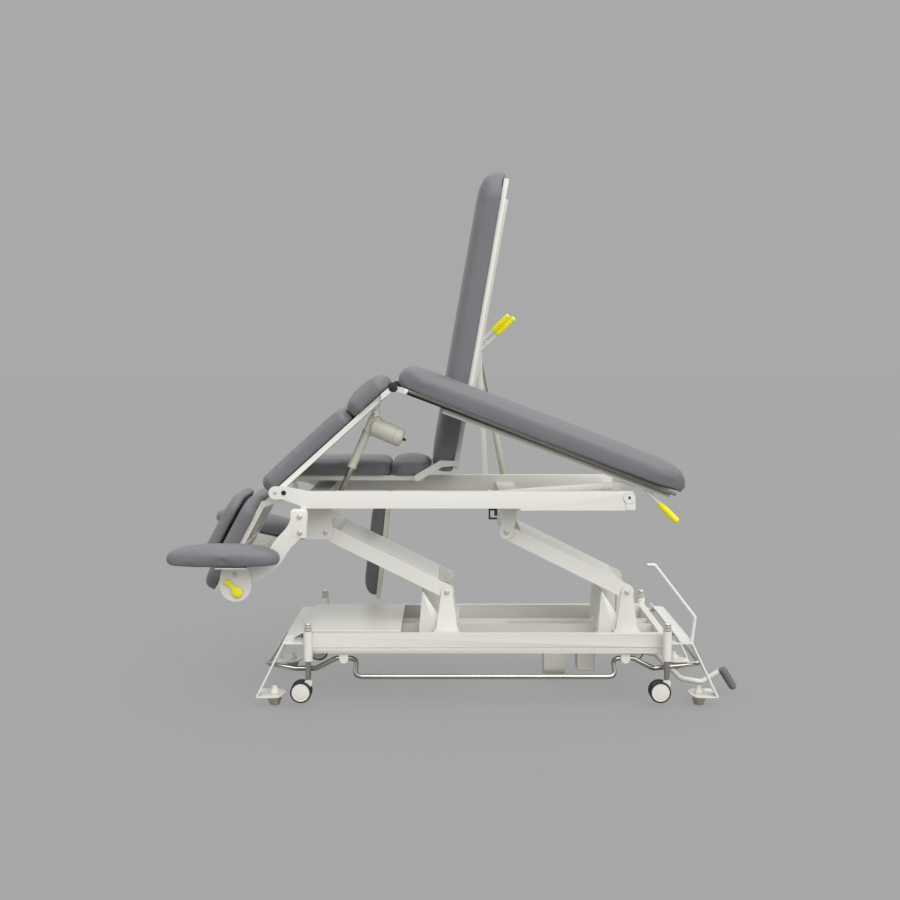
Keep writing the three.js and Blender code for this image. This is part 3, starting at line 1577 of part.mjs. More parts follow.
// Section actuator between the frame and the near thigh frame
const topOffset = at(actuatorTopAlong, 0, actuatorTopLift).applyAxisAngle(at(0, 1, 0), -rad(thighRise));
const actuatorTop = at(seatPivotX, 0, seatPivotHeight).add(topOffset);
const actuatorRun = actuatorTop.clone().sub(at(actuatorLowerX, 0, actuatorLowerHeight));
const actuatorAngle = THREE.MathUtils.radToDeg(Math.atan2(actuatorRun.z, actuatorRun.x));
const actuatorLength = actuatorRun.length();
const actuator = turned(table, actuatorTop.x, actuatorTop.z, actuatorAngle);

function actuatorBody() {
  const half = gearboxWidth / 2;
  const eye = gearboxHeight / 5;
  const gearbox = join([
    block(-gearboxLength, -eye / 2, actuatorY - half, actuatorY + half, -gearboxHeight / 2, eye),
    crossPin(0, 0, actuatorY - half, actuatorY + half, eye, 16),
  ]);
  const motorX = -gearboxLength + actuatorMotorRadius * 0.9;
  const motorStart = -gearboxHeight / 3;
  const motor = rod(at(motorX, actuatorY, motorStart), at(motorX, actuatorY,
    motorStart - actuatorMotorLength),
    actuatorMotorRadius, 16);
  const tube = rod(at(-gearboxLength + overrun, actuatorY, 0), at(-actuatorTubeLength, actuatorY, 0),
    actuatorTubeRadius, 14);
  const tunnel = rod(at(-actuatorLength * 0.2, actuatorY, 0), at(-actuatorTubeLength - overrun, actuatorY,
    0),
    actuatorRodRadius + boreClearance);
  const bore = crossPin(0, 0, actuatorY - gearboxWidth, actuatorY + gearboxWidth,
    pinRadius / 2 + boreClearance);
  return cut(join([gearbox, motor, tube]), [tunnel, bore]);
}

function actuatorRod() {
  const half = driveEyeWidth / 2;
  const bar = rod(at(-actuatorTubeLength * 0.8, actuatorY, 0), at(-actuatorLength, actuatorY, 0),
    actuatorRodRadius);
  return join([bar, crossPin(-actuatorLength, 0, actuatorY - half, actuatorY + half, actuatorEyeRadius)]);
}
add(actuator, "actuator_body", actuatorBody(), greyPlastic);
add(actuator, "actuator_rod", actuatorRod(), chrome);

// Side flap that hangs from the far rail, in its own axes with -Z downwards
const flap = turned(table, flapX, flapHeight, -flapLean);

function flapFrame() {
  const pieces = [];
  const bore = flapRodRadius + boreClearance;
  const inner = flapInner + seam;
  const outer = flapInner + flapWidth - seam;
  const bottom = -(flapPadTop + flapPadLength);
  for (const y of [inner, outer - flapRailDepth]) {
    pieces.push(plate(linkOutline(0, 0, 0, bottom, flapRailWidth / 2), y, y + flapRailDepth));
  }
  for (const z of [-flapPadTop * 2, bottom + flapPadTop]) {
    pieces.push(block(-flapRailWidth / 2, flapRailWidth / 2, inner, outer, z - flapRailWidth / 2,
      z + flapRailWidth / 2));
  }
  return cut(join(pieces), [crossPin(0, 0, inner - overrun, outer + overrun, bore)]);
}

function flapPad() {
  const pad = cushion(flapPadTop, flapPadTop + flapPadLength, flapInner, flapInner + flapWidth,
    flapRailWidth / 2 + clearance, flapPadThickness, padCrown / 2, padCorner * 0.6, padEdge * 0.7);
  return pad.rotateX(Math.PI).translate(0, flapInner * 2 + flapWidth, 0).rotateY(Math.PI / 2);
}

add(flap, "flap_frame", flapFrame(), whitePaint);
add(flap, "flap_pad", flapPad(), upholstery);

export default table;
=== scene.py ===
# %% [markdown]
# This lesson dresses a physiotherapy table in Blender. The metal frames, pads and casters come from a
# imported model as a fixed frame, in metres, with the floor at Z = 0, the foot end on +X and the near side
# on -Y. Everything made here is a new piece that rides on one of the model's moving bodies, so the table
# still works.

import json
import math

import bmesh
import bpy
from mathutils import Matrix, Vector


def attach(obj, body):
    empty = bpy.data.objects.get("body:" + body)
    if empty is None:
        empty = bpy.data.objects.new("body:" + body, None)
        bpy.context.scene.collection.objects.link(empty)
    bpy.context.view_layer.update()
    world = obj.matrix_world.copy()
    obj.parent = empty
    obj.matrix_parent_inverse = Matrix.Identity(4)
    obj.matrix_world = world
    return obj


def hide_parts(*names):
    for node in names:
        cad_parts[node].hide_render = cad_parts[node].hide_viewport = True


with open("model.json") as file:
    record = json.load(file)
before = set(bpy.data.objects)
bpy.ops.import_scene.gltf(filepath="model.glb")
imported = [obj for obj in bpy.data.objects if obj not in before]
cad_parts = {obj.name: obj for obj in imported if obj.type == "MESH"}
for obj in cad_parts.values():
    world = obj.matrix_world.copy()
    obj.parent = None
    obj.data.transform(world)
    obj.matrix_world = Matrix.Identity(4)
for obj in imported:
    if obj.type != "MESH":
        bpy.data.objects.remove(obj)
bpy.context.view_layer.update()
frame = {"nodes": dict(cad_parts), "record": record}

# %% [markdown]
# The photograph looks straight at the near side from about four and a half metres away and a little from
# above. A long lens keeps the far rail almost behind the near one. The picture is square, so a 36 mm
# sensor and a lens of 50 mm give the same view. Turning the camera 4.4 degrees down puts the horizon
# behind the raised pads.

# %% Camera
scene = bpy.context.scene
camera_data = bpy.data.cameras.new("Camera")
camera_data.sensor_width = 36
camera_data.lens = 50.04
camera_data.clip_end = 100
camera = bpy.data.objects.new("Camera", camera_data)
camera.location = (-0.0429, -4.640, 1.2483)
camera.rotation_euler = (math.pi / 2 - 0.0769, 0, 0)
scene.collection.objects.link(camera)
scene.camera = camera
scene.view_settings.view_transform = "Standard"
print("camera", tuple(camera.location))

# %% [markdown]
# A shader is a graph, but its maths reads better as a sum. The small class below wraps one socket, so
# that `1 - mask * 0.4` adds the right Math nodes by itself. Colours never pass through it, because a Math
# node would turn them grey: they go through a Mix node instead.


# %% Sockets that add and multiply
class Term:
    """One output socket of a shader, usable like a number."""

    def __init__(self, graph, socket):
        self.graph = graph
        self.socket = socket

    def maths(self, operation, *values):
        return self.graph.node("ShaderNodeMath", {"operation": operation}, dict(enumerate(values)))

    def __add__(self, other):
        return self.maths("ADD", self, other)

    def __radd__(self, other):
        return self.maths("ADD", other, self)

    def __rsub__(self, other):
        return self.maths("SUBTRACT", other, self)

    def __mul__(self, other):
        return self.maths("MULTIPLY", self, other)

    def above(self, edge):
        return self.maths("GREATER_THAN", self, edge)

    def size(self):
        return self.maths("ABSOLUTE", self)


# %% [markdown]
# One method makes every other node. It sets the node's choices first, and then gives each socket a number
# or a link. Constants that are the same all over a surface stay on the surface shader. The world uses the
# same method.


# %% A graph that builds itself
class Graph:
    """The nodes of one material or world."""

    def __init__(self, owner):
        owner.use_nodes = True
        self.tree = owner.node_tree
        self.tree.nodes.clear()

    def node(self, kind, settings=None, sockets=None, output=0):
        made = self.tree.nodes.new(kind)
        for key, value in (settings or {}).items():
            setattr(made, key, value)
        for key, value in (sockets or {}).items():
            if isinstance(value, Term):
                self.tree.links.new(value.socket, made.inputs[key])
            else:
                made.inputs[key].default_value = value
        return Term(self, made.outputs[output]) if made.outputs else made


class Shader(Graph):
    """A material with one surface shader and helpers for its patterns."""

    def __init__(self, name):
        self.material = bpy.data.materials.new(name)
        super().__init__(self.material)

    def place(self, scale=(1, 1, 1)):
        where = self.node("ShaderNodeTexCoord", output="Object")
        return self.node("ShaderNodeMapping", None, {"Vector": where, "Scale": scale})

    def noise(self, scale, detail=2, stretch=(1, 1, 1)):
        return self.node(
            "ShaderNodeTexNoise", None, {"Vector": self.place(stretch), "Scale": scale, "Detail": detail}
        )

    def blend(self, share, first, second):
        settings = {"data_type": "RGBA", "blend_type": "MIX"}
        return self.node("ShaderNodeMix", settings, {0: share, 6: first, 7: second}, output=2)

    def bump(self, height, strength, distance):
        sockets = {"Height": height, "Strength": strength, "Distance": distance}
        return self.node("ShaderNodeBump", None, sockets)

    def surface(self, sockets):
        shader = self.node("ShaderNodeBsdfPrincipled", None, sockets)
        self.node("ShaderNodeOutputMaterial", None, {"Surface": shader})
        return self.material


def colour(red, green, blue):
    """A display colour, 11 to 255 in each channel, as the linear values that a shader wants."""
    return (*(((c / 255 + 0.055) / 1.055) ** 2.4 for c in (red, green, blue)), 1)


# %% [markdown]
# The pads are covered in soft vinyl. It has a pebble grain about a millimetre wide, a dull sheen and
# slight changes of tone over a hand's width. A Voronoi pattern gives the pebbles, and Noise the tone.
# Under each pad the vinyl is stapled round a board and hidden by black felt. Each pad stores on its own
# points how far they lie inside that felt, and the shader switches to felt where the value is above zero.


# %% Vinyl finish
def vinyl_finish():
    shader = Shader("Vinyl")
    pebbles = shader.node("ShaderNodeTexVoronoi", None, {"Vector": shader.place(), "Scale": 620})
    patches = shader.noise(7, 3)
    under = shader.node("ShaderNodeAttribute", {"attribute_name": "under"}, output="Fac")
    felt = under.above(0)
    near_edge = {"Value": under.size(), "From Min": 0.0005, "From Max": 0.002}
    fold = shader.node("ShaderNodeMapRange", {"clamp": True}, near_edge)
    fibres = shader.noise(900, 4)
    tone = shader.blend(patches, colour(110, 108, 112), colour(122, 120, 124))
    tone = shader.blend(felt, tone, colour(52, 52, 54))
    relief = (pebbles * 0.35) * (1 - felt) + fibres * felt + fold * 1.4
    return shader.surface(
        {
            "Base Color": tone,
            "Roughness": 0.42 + patches * 0.1 + felt * 0.4,
            "Normal": shader.bump(relief, 0.35, 0.0006),
            "Specular IOR Level": 0.5,
        }
    )


vinyl = vinyl_finish()
print("made", vinyl.name)

# %% [markdown]
# The steel is powder coated in a warm white. Such a coat is never quite flat: it has an orange-peel
# ripple a few millimetres across, a soft gloss, and a faint yellowing that varies over the frame.
# Handling leaves it a little duller in places. Pointiness, which Cycles finds from the mesh, marks the
# edges where a coat wears thin.


# %% Powder coat finish
def paint_finish(name, light, dark):
    shader = Shader(name)
    peel = shader.noise(260, 2)
    clouds = shader.noise(3.5, 4)
    edges = shader.node("ShaderNodeNewGeometry", output="Pointiness")
    worn = {"Value": edges, "From Min": 0.56, "From Max": 0.66}
    wear = shader.node("ShaderNodeMapRange", {"clamp": True}, worn)
    tone = shader.blend(clouds, light, dark)
    tone = shader.blend(wear * 0.3, tone, colour(176, 172, 160))
    return shader.surface(
        {
            "Base Color": tone,
            "Roughness": 0.3 + clouds * 0.16,
            "Normal": shader.bump(peel, 0.12, 0.0008),
            "Specular IOR Level": 0.5,
        }
    )


white_paint = paint_finish("White powder coat", colour(228, 227, 221), colour(220, 218, 209))
print("made", white_paint.name)

# %% [markdown]
# Bright metal is nearly all reflection, so its colour and its roughness do the work. The foot bar and the
# caster stems are polished tube with fine drawing marks, the bolts are dull zinc, and the levelling feet
# are yellow passivated steel. One maker's function covers all of them, because only the tint and the
# polish differ.


# %% Metal finishes
def metal_finish(name, tint, shade, polish, marks, purity=1.0):
    shader = Shader(name)
    drawn = shader.noise(90, 3, marks)
    smudge = shader.noise(14, 3)
    tone = shader.blend(smudge, tint, shade)
    return shader.surface(
        {
            "Base Color": tone,
            "Metallic": purity,
            "Roughness": polish + drawn * 0.1 + smudge * 0.06,
            "Normal": shader.bump(drawn, 0.06, 0.0003),
        }
    )


chrome = metal_finish("Bright steel", colour(206, 203, 197), colour(178, 175, 168), 0.12, (1, 6, 6))
zinc = metal_finish("Zinc bolts", colour(226, 225, 220), colour(200, 198, 192), 0.3, (4, 4, 4), 0.55)
brass = metal_finish("Passivated feet", colour(222, 214, 196), colour(190, 180, 158), 0.26, (3, 3, 3), 0.6)
print("made", chrome.name, zinc.name, brass.name)

# %% [markdown]
# Plastics and rubbers share one recipe too: a body colour with slight mottling, a satin surface and a
# fine spark-eroded texture from the mould. Only their colours, gloss and grain differ.


# %% Plastic and rubber finishes
def moulded_finish(name, light, dark, gloss, grain, depth):
    shader = Shader(name)
    texture = shader.noise(grain, 2)
    mottle = shader.noise(22, 3)
    tone = shader.blend(mottle, light, dark)
    return shader.surface(
        {
            "Base Color": tone,
            "Roughness": gloss + mottle * 0.12,
            "Normal": shader.bump(texture, 0.3, depth),
        }
    )


yellow = moulded_finish("Yellow grip", colour(250, 243, 24), colour(240, 231, 16), 0.36, 700, 0.0003)
beige = moulded_finish("Beige housing", colour(196, 195, 180), colour(184, 183, 167), 0.42, 900, 0.0002)
hub_white = moulded_finish("White hub", colour(226, 223, 215), colour(212, 209, 200), 0.34, 900, 0.0001)
tyre_black = moulded_finish("Black tyre", colour(44, 44, 46), colour(32, 32, 34), 0.62, 500, 0.0004)
pedal_rubber = moulded_finish("Grey rubber", colour(122, 123, 122), colour(104, 105, 104), 0.7, 600, 0.0004)
plate_black = moulded_finish("Black plate", colour(34, 34, 36), colour(24, 24, 26), 0.3, 900, 0.0001)
print("made six plastics and rubbers")

# %% [markdown]
# A finished piece sits at the origin, unturned, with its place in its mesh, as the frame's own parts do.
# The helper below turns a bmesh into such a piece, gives it its finish, shades it smooth except at real
# corners, and lets it ride on a body of the frame. Lengths are written in millimetres. What stands on
# both sides of the table or at both ends is made by a loop over the values named here.

# %% Making a piece
MM = 0.001
SIDES = (("near", -1), ("far", 1))
CASTER_X = {"head": -542, "foot": 721}
CASTER_Y = 308
FOOT_X = {"head": -668.6, "foot": 845.6}
FOOT_Y = 254


def point(x, y, z):
    """A point given in millimetres."""
    return Vector((x, y, z)) * MM


def piece_from(name, mesh_data, body, *finishes, corner=35):
    mesh = bpy.data.meshes.new(name)
    bmesh.ops.remove_doubles(mesh_data, verts=mesh_data.verts, dist=1e-6)
    mesh_data.to_mesh(mesh)
    mesh_data.free()
    for finish in finishes:
        mesh.materials.append(finish)
    mesh.shade_smooth()
    mesh.set_sharp_from_angle(angle=math.radians(corner))
    made = bpy.data.objects.new(name, mesh)
    scene.collection.objects.link(made)
    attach(made, body)
    return made


def turned_out(mesh_data):
    """Merged doubles and faces that look outwards."""
    bmesh.ops.remove_doubles(mesh_data, verts=mesh_data.verts, dist=1e-6)
    bmesh.ops.recalc_face_normals(mesh_data, faces=mesh_data.faces)
    return mesh_data


members = frame["record"]["behaviour"]["bodies"]
body_of_node = {node: body for body, nodes in members.items() for node in nodes}

# %% [markdown]
# The frame's parts have razor edges. Real tube, sheet and plate have small radii that catch the light,
# and a render looks false without them. A part's mesh is loose triangles, so a copy is merged, its flat
# faces are dissolved back to whole faces, and a Bevel modifier then rounds every edge sharper than 40
# degrees.


# %% Rounding the frame's edges
def softened(node, finish, radius, segments=2):
    source = bmesh.new()
    source.from_mesh(frame["nodes"][node].data)
    bmesh.ops.remove_doubles(source, verts=source.verts, dist=2e-5)
    bmesh.ops.dissolve_limit(
        source,
        angle_limit=math.radians(1),
        use_dissolve_boundaries=False,
        verts=source.verts,
        edges=source.edges,
    )
    large = [face for face in source.faces if len(face.verts) > 4]
    bmesh.ops.triangulate(source, faces=large, ngon_method="BEAUTY")
    made = piece_from(node + ".soft", source, body_of_node[node], finish, corner=38)
    bevel = made.modifiers.new("Rounded edges", "BEVEL")
    bevel.width = radius * MM
    bevel.segments = segments
    bevel.limit_method = "ANGLE"
    bevel.angle_limit = math.radians(40)
    bevel.use_clamp_overlap = True
    bevel.harden_normals = True
    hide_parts(node)
    return made


# %% Steel frames
frames = {
    "base_frame": 1.5,
    "head_end_cover": 1.2,
    "foot_end_ledge": 1.2,
    "lift_arm_head": 1.6,
    "lift_arm_foot": 1.6,
    "upper_frame": 1.4,
    "armrest_bracket_near": 2.5,
    "armrest_bracket_far": 2.5,
    "head_frame": 1.2,
    "near_thigh_frame": 1.0,
    "near_long_frame": 1.0,
    "far_seat_frame": 1.0,
    "far_long_frame": 1.0,
    "near_strut": 1.2,
    "far_strut": 1.2,
    "flap_frame": 1.2,
    "control_box": 4.0,
}
for name, radius in frames.items():
    made = softened(name, white_paint, radius)
print("softened", len(frames), "steel frames")

# %% [markdown]
# Small hardware keeps its own shape and only changes its finish. The posts and rods are bright steel, the
# forks and the lift motor are moulded in white, and the tube of the lift drive is beige.

# %% Small hardware
hardware = {
    "lift_drive_tube": (beige, 1.0, "grey_plastic"),
    "lift_drive_rod": (chrome, 0.6, "chrome"),
    "lift_motor": (hub_white, 6.0, "grey_plastic"),
    "actuator_rod": (chrome, 0.6, "chrome"),
    "gas_rod": (chrome, 0.5, "chrome"),
}
for end in CASTER_X:
    for side, _ in SIDES:
        hardware[f"caster_post_{end}_{side}"] = (chrome, 0.8, "chrome")
        hardware[f"caster_fork_{end}_{side}"] = (hub_white, 2.0, "chrome")
for name, (finish, radius, slot) in hardware.items():
    made = softened(name, finish, radius, 3 if radius > 2 else 2)
print("softened", len(hardware), "small parts")

# %% [markdown]
# Each tilting section has axes of its own: X runs along it, and an angle raises its X end. A matrix that
# turns about Y and then moves to the pivot brings a shape from those axes into the frame. A pivot is an X
# and a Z.


# %% Axes of a tilted section
SEAT_PIVOT = (-622, 765)
HEAD_PIVOT = (-652, 765)
ARMREST_PIVOT = (-787, 459)
LONG_HINGE = (-239.58, 1130.86)
FAR_BACK_PIVOT = (-76, 839)
FLAP_PIVOT = (-287, 680)
STRUT_PIVOT = (98, 755)
THIGH_ANGLE = 42
HEAD_ANGLE = 61.7
ARMRESTS = (("near", -1, 0), ("far", 1, -12))


def at(pivot, y):
    """A place on a pivot's axis."""
    return point(pivot[0], y, pivot[1])


def section(pivot, angle=0.0):
    return Matrix.Translation(at(pivot, 0)) @ Matrix.Rotation(-math.radians(angle), 4, "Y")


def facing(axis):
    """A turn that lays Z along an axis."""
    return Vector((0, 0, 1)).rotation_difference(Vector(axis).normalized()).to_matrix().to_4x4()


# %% [markdown]
# Turned parts are made as a lathe makes them. An outline of radius against distance is spun once round
# the axis. Bmesh spins it about Z, and a matrix then lays that axis where it belongs.


# %% Lathe
def lathe_into(mesh_data, outline, centre, axis, steps=40, finish=0):
    verts_before = set(mesh_data.verts)
    faces_before = set(mesh_data.faces)
    verts = [mesh_data.verts.new((radius * MM, 0, along * MM)) for along, radius in outline]
    edges = [mesh_data.edges.new(pair) for pair in zip(verts, verts[1:])]
    bmesh.ops.spin(
        mesh_data,
        geom=verts + edges,
        cent=(0, 0, 0),
        axis=(0, 0, 1),
        angle=math.tau,
        steps=steps,
        use_merge=True,
    )
    fresh = [vert for vert in mesh_data.verts if vert not in verts_before]
    bmesh.ops.transform(mesh_data, matrix=Matrix.Translation(centre) @ facing(axis), verts=fresh)
    for face in mesh_data.faces:
        if face not in faces_before:
            face.material_index = finish


# %% [markdown]
# Tubes follow a path of straight runs with round bends. The path is sampled into a curve, the curve is
# given a round bevel, and Blender's own evaluation turns it into a mesh.


# %% Tube along a path
def rounded(corners, radius, closed=False):
    steps = 8
    count = len(corners)
    points = []
    for i, corner in enumerate(corners):
        if not closed and i in (0, count - 1):
            points.append(corner)
            continue
        before = (corner - corners[i - 1]).normalized()
        after = (corners[(i + 1) % count] - corner).normalized()
        reach = radius * MM * math.tan(before.angle(after) / 2)
        start, end = corner - before * reach, corner + after * reach
        for step in range(steps + 1):
            share = step / steps
            points.append(start.lerp(corner, share).lerp(corner.lerp(end, share), share))
    return points


def tube(name, points, radius, body, finish, closed=False):
    curve = bpy.data.curves.new(name, "CURVE")
    curve.dimensions = "3D"
    curve.bevel_depth = radius * MM
    curve.bevel_resolution = 5
    curve.use_fill_caps = True
    spline = curve.splines.new("POLY")
    spline.points.add(len(points) - 1)
    for place, target in zip(points, spline.points):
        target.co = (*place, 1)
    spline.use_cyclic_u = closed
    carrier = bpy.data.objects.new(name + ".path", curve)
    scene.collection.objects.link(carrier)
    bpy.context.view_layer.update()
    graph = bpy.context.evaluated_depsgraph_get()
    mesh = bpy.data.meshes.new_from_object(carrier.evaluated_get(graph))
    bpy.data.objects.remove(carrier)
    shape = bmesh.new()
    shape.from_mesh(mesh)
    return piece_from(name, turned_out(shape), body, finish)


# %% [markdown]
# The foot bar is one polished bail that runs round the whole base. It dips outside the rails between the
# casters, where feet can reach it, and it climbs to the hangers at both ends.

# %% Foot bar
LOW, STEP, HIGH = 115, 128, 165
INNER, OUTER = 246, 312
bar_side = [
    (-693, INNER, 146),
    (-594.8, INNER, STEP),
    (-522, INNER, STEP),
    (-449.2, INNER, HIGH),
    (-376.4, INNER, HIGH),
    (-376.4, OUTER, LOW),
    (537.4, OUTER, LOW),
    (537.4, INNER, HIGH),
    (610.2, INNER, HIGH),
    (683, INNER, STEP),
    (850, INNER, 146),
]
ring = [point(x, -y, z) for x, y, z in bar_side] + [point(x, y, z) for x, y, z in reversed(bar_side)]
foot_bar = tube("Foot_bar", rounded(ring, 26, closed=True), 9, "foot_bar", chrome, closed=True)
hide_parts("foot_bar")
print("foot bar", len(foot_bar.data.polygons), "faces")

# %% [markdown]
# A caster has two wheels on one axle. Each wheel is a thin dark tyre round a white disc with a shallow
# groove near its rim. The outlines are read outwards from the middle of the pair.

# %% Casters
TYRE = [(8, 31.6), (8, 34), (9.4, 36.6), (12, 37.4), (22, 37.4), (24.6, 36.6), (26, 34), (26, 31.6)]
DISC = [(8.6, 0), (8.6, 31.4), (25.6, 31.4), (26.6, 30.4), (26.8, 28), (26, 26.6), (26.4, 25), (27.2, 12)]
AXLE = [(-9, 0), (-9, 5), (9, 5), (9, 0)]
TRAIL = 25
AXLE_HEIGHT = 62
for end, stem_x in CASTER_X.items():
    for side, sign in SIDES:
        shape = bmesh.new()
        hub = point(stem_x - TRAIL, sign * CASTER_Y, AXLE_HEIGHT)
        for outwards in (-1, 1):
            lathe_into(shape, [*TYRE, TYRE[0]], hub, (0, outwards, 0), 56, 0)
            lathe_into(shape, [*DISC, (27.4, 0)], hub, (0, outwards, 0), 56, 1)
        lathe_into(shape, AXLE, hub, (0, 1, 0), 24, 2)
        body = f"caster_wheel_{end}_{side}"
        finishes = (tyre_black, hub_white, chrome)
        wheel = piece_from(f"Caster_wheels_{end}_{side}", turned_out(shape), body, *finishes)
        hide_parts(f"caster_wheel_{end}_{side}")
print("four pairs of caster wheels")

# %% [markdown]
# The table stands on four screw feet. Each foot has a ribbed collar that a hand can turn, a screw through
# the leg's flange, and a white cup on top of the flange.


# %% Levelling feet
def foot_outline():
    collar = [(0, 0), (0, 15), (1.2, 17)]
    rib = ((0.4, 0), (2.0, 0), (2.4, 1.3), (2.9, 1.3))
    ribs = [(2 + 3.2 * i + shift, 17.6 + 1.2 * i - depth) for i in range(6) for shift, depth in rib]
    return [*collar, *ribs, (22, 25), (29, 25), (30.4, 23.4), (30.4, 12), (36.5, 12), (36.5, 0)]


SCREW = [(36.5, 0), (36.5, 8), (42.4, 8), (42.4, 0)]
CUP = [(42.4, 0), (42.4, 17), (43.4, 18), (50, 17), (56, 13.4), (60, 10), (66.8, 9), (68, 7.6), (68, 0)]
for end, foot_x in FOOT_X.items():
    for side, sign in SIDES:
        shape = bmesh.new()
        where = point(foot_x, sign * FOOT_Y, 0)
        lathe_into(shape, foot_outline(), where, (0, 0, 1), 48)
        lathe_into(shape, SCREW, where, (0, 0, 1), 24)
        lathe_into(shape, CUP, where, (0, 0, 1), 48, 1)
        body = f"{end}_foot_{side}"
        made = piece_from(f"Screw_foot_{end}_{side}", turned_out(shape), body, brass, white_paint)
        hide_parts(f"{end}_foot_{side}")
print("four screw feet")

# %% [markdown]
# The release handles are the bright accents of the photograph. Each is a thin rod from the end of its
# strut with a soft grip pushed over it. The grip swells a little, has shallow finger grooves and ends in
# a round tip. The far handle has a second, slimmer grip beside the first.


# %% Release handles
def grip_outline(start, length, radius):
    steps = 18
    body = []
    for i in range(1, steps):
        groove = 0.5 * (i % 3 == 1)
        swell = radius * (0.9 + 0.1 * math.sin(math.pi * i / steps))
        body.append((start + length * i / steps, swell - groove))
    tip = [
        (start + length + radius * math.sin(a), radius * math.cos(a))
        for a in (math.radians(10 * i) for i in range(1, 9))
    ]
    return [(start, 5), (start, radius * 0.86), *body, *tip, (start + length + radius, 0)]


ROD = [(0, 0), (0, 7.4), (0.8, 8), (90, 8), (90, 0)]
TWIN_ROD = [(26, 0), (26, 7.4), (26.6, 8), (90, 8), (90, 0)]
BRIDGE = [(4, 0), (4, 5), (20, 5), (20, 0)]
TWIN_GAP = 22
lean = math.radians(-49)
for lane, angle, length, across in (("near", 4.2, 524, -259), ("far", 93.1, 498, 329)):
    axes = section(STRUT_PIVOT, angle)
    root = axes @ point(length + 11.3, across, -11)
    along = (axes.to_3x3() @ Vector((math.cos(lean), 0, math.sin(lean)))).normalized()
    shape = bmesh.new()
    lathe_into(shape, ROD, root, along, 24, 1)
    lathe_into(shape, grip_outline(86, 84, 12), root, along, 40, 0)
    handle = piece_from(f"Release_grip_{lane}", turned_out(shape), f"{lane}_handle", yellow, white_paint)
    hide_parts(f"{lane}_release_handle")
# The loop ends with the far handle, and the second grip lies beside that one.
aside = Vector((-along.z, 0, along.x))
beside = root + aside * TWIN_GAP * MM
shape = bmesh.new()
lathe_into(shape, TWIN_ROD, beside, along, 24, 1)
lathe_into(shape, BRIDGE, root + along * 34 * MM, aside, 20, 1)
lathe_into(shape, grip_outline(84, 78, 11), beside, along, 40, 0)
twin = piece_from("Twin_grip_far", turned_out(shape), "far_handle", yellow, white_paint)
print("release handles and the second grip beside the far one")

# %% [markdown]
# The gas spring behind the raised back has a painted cylinder with rolled ends and a thin bright rod. Its
# lower eye turns on a pin in the rail. The rod keeps its own piece, because it slides.

# %% Gas spring
SPRING_PIVOT = (179, 728)
axes = section(SPRING_PIVOT, 101.3)
spring_along = (axes.to_3x3() @ Vector((1, 0, 0))).normalized()
foot = axes @ point(0, 349, 0)
shape = bmesh.new()
cylinder = [(5.8, 6), (8, 9.4), (12, 11), (14, 12), (284, 12), (286, 11.2), (288, 12), (296, 12)]
cylinder += [(299, 10.6), (300, 8.6), (300, 5.6), (200, 5.6)]
lathe_into(shape, cylinder, foot, spring_along, 40)
EYE = [(-12, 8.6), (-12, 11.2), (-11.2, 12), (11.2, 12), (12, 11.2), (12, 8.6), (-12, 8.6)]
lathe_into(shape, [(along * 0.9, radius) for along, radius in EYE], foot, (0, 1, 0), 32)
gas_spring = piece_from("Gas_spring_cylinder", turned_out(shape), "gas_cylinder", beige)
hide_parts("gas_cylinder")
print("gas spring", len(gas_spring.data.polygons), "faces")

# %% [markdown]
# The drive of the near section is one moulded unit: a rounded gearbox, a round motor that hangs from it
# and a straight tube. A groove parts the motor's cap from its case, and a ring closes the tube.


# %% Section drive
def round_edges(mesh_data, verts, offset, segments):
    edges = list({edge for vert in verts for edge in vert.link_edges})
    settings = {"affect": "EDGES", "profile": 0.5, "material": -1}
    bmesh.ops.bevel(mesh_data, geom=edges, offset=offset, segments=segments, **settings)


def box_into(mesh_data, low, high, radius, axes=Matrix.Identity(4)):
    place = Matrix.Translation((low + high) / 2)
    size = Matrix.Diagonal((*(high - low), 1))
    made = bmesh.ops.create_cube(mesh_data, size=1, matrix=axes @ place @ size)
    round_edges(mesh_data, made["verts"], radius * MM, 4)


DRIVE_PIVOT = (-306.61, 1040.91)
DRIVE_Y = -215
axes = section(DRIVE_PIVOT, 66.28)
tilt = axes.to_3x3()
shape = bmesh.new()
box_into(shape, point(-76, -236, -31), point(-9, -194, 13), 7, axes)
box_into(shape, point(-76, -232, -15), point(-70, -198, 9), 3, axes)
case = [(6, 0), (6, 30), (9, 33), (14, 34), (30, 34), (31, 33.2), (32, 34), (92, 34), (93, 32.6)]
case += [(96, 32.6), (97, 34), (114, 34), (120, 32.4), (124, 28), (125.4, 20), (125.8, 0)]
lathe_into(shape, case, axes @ point(-47.4, DRIVE_Y, 0), tilt @ Vector((0, 0, -1)), 56)
barrel = [(70, 0), (70, 16.5), (84, 16.5), (86, 14.5), (203, 14.5), (204, 15.8), (214, 15.8), (215, 14.6)]
barrel += [(215, 10.6), (75, 10.6)]
pivot = axes @ point(0, DRIVE_Y, 0)
lathe_into(shape, barrel, pivot, tilt @ Vector((-1, 0, 0)), 40)
lathe_into(shape, [(along * 1.75, radius) for along, radius in EYE], pivot, (0, 1, 0), 32)
plug = [(0, 0), (0, 6), (9, 5.4), (10, 4.4), (14, 4), (14, 0)]
lathe_into(shape, plug, axes @ point(-47.4, DRIVE_Y, -124), tilt @ Vector((0, 0, -1)), 20, 1)
drive = piece_from("Section_drive", turned_out(shape), "actuator_body", beige, plate_black)
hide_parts("actuator_body")
print("section drive", len(drive.data.polygons), "faces")

# %% [markdown]
# The pedal is a bent white tube with a grey rubber sleeve. The sleeve bulges at its end and has treads
# where the sole of a shoe presses, so it is turned like the grips, with one rib after another.

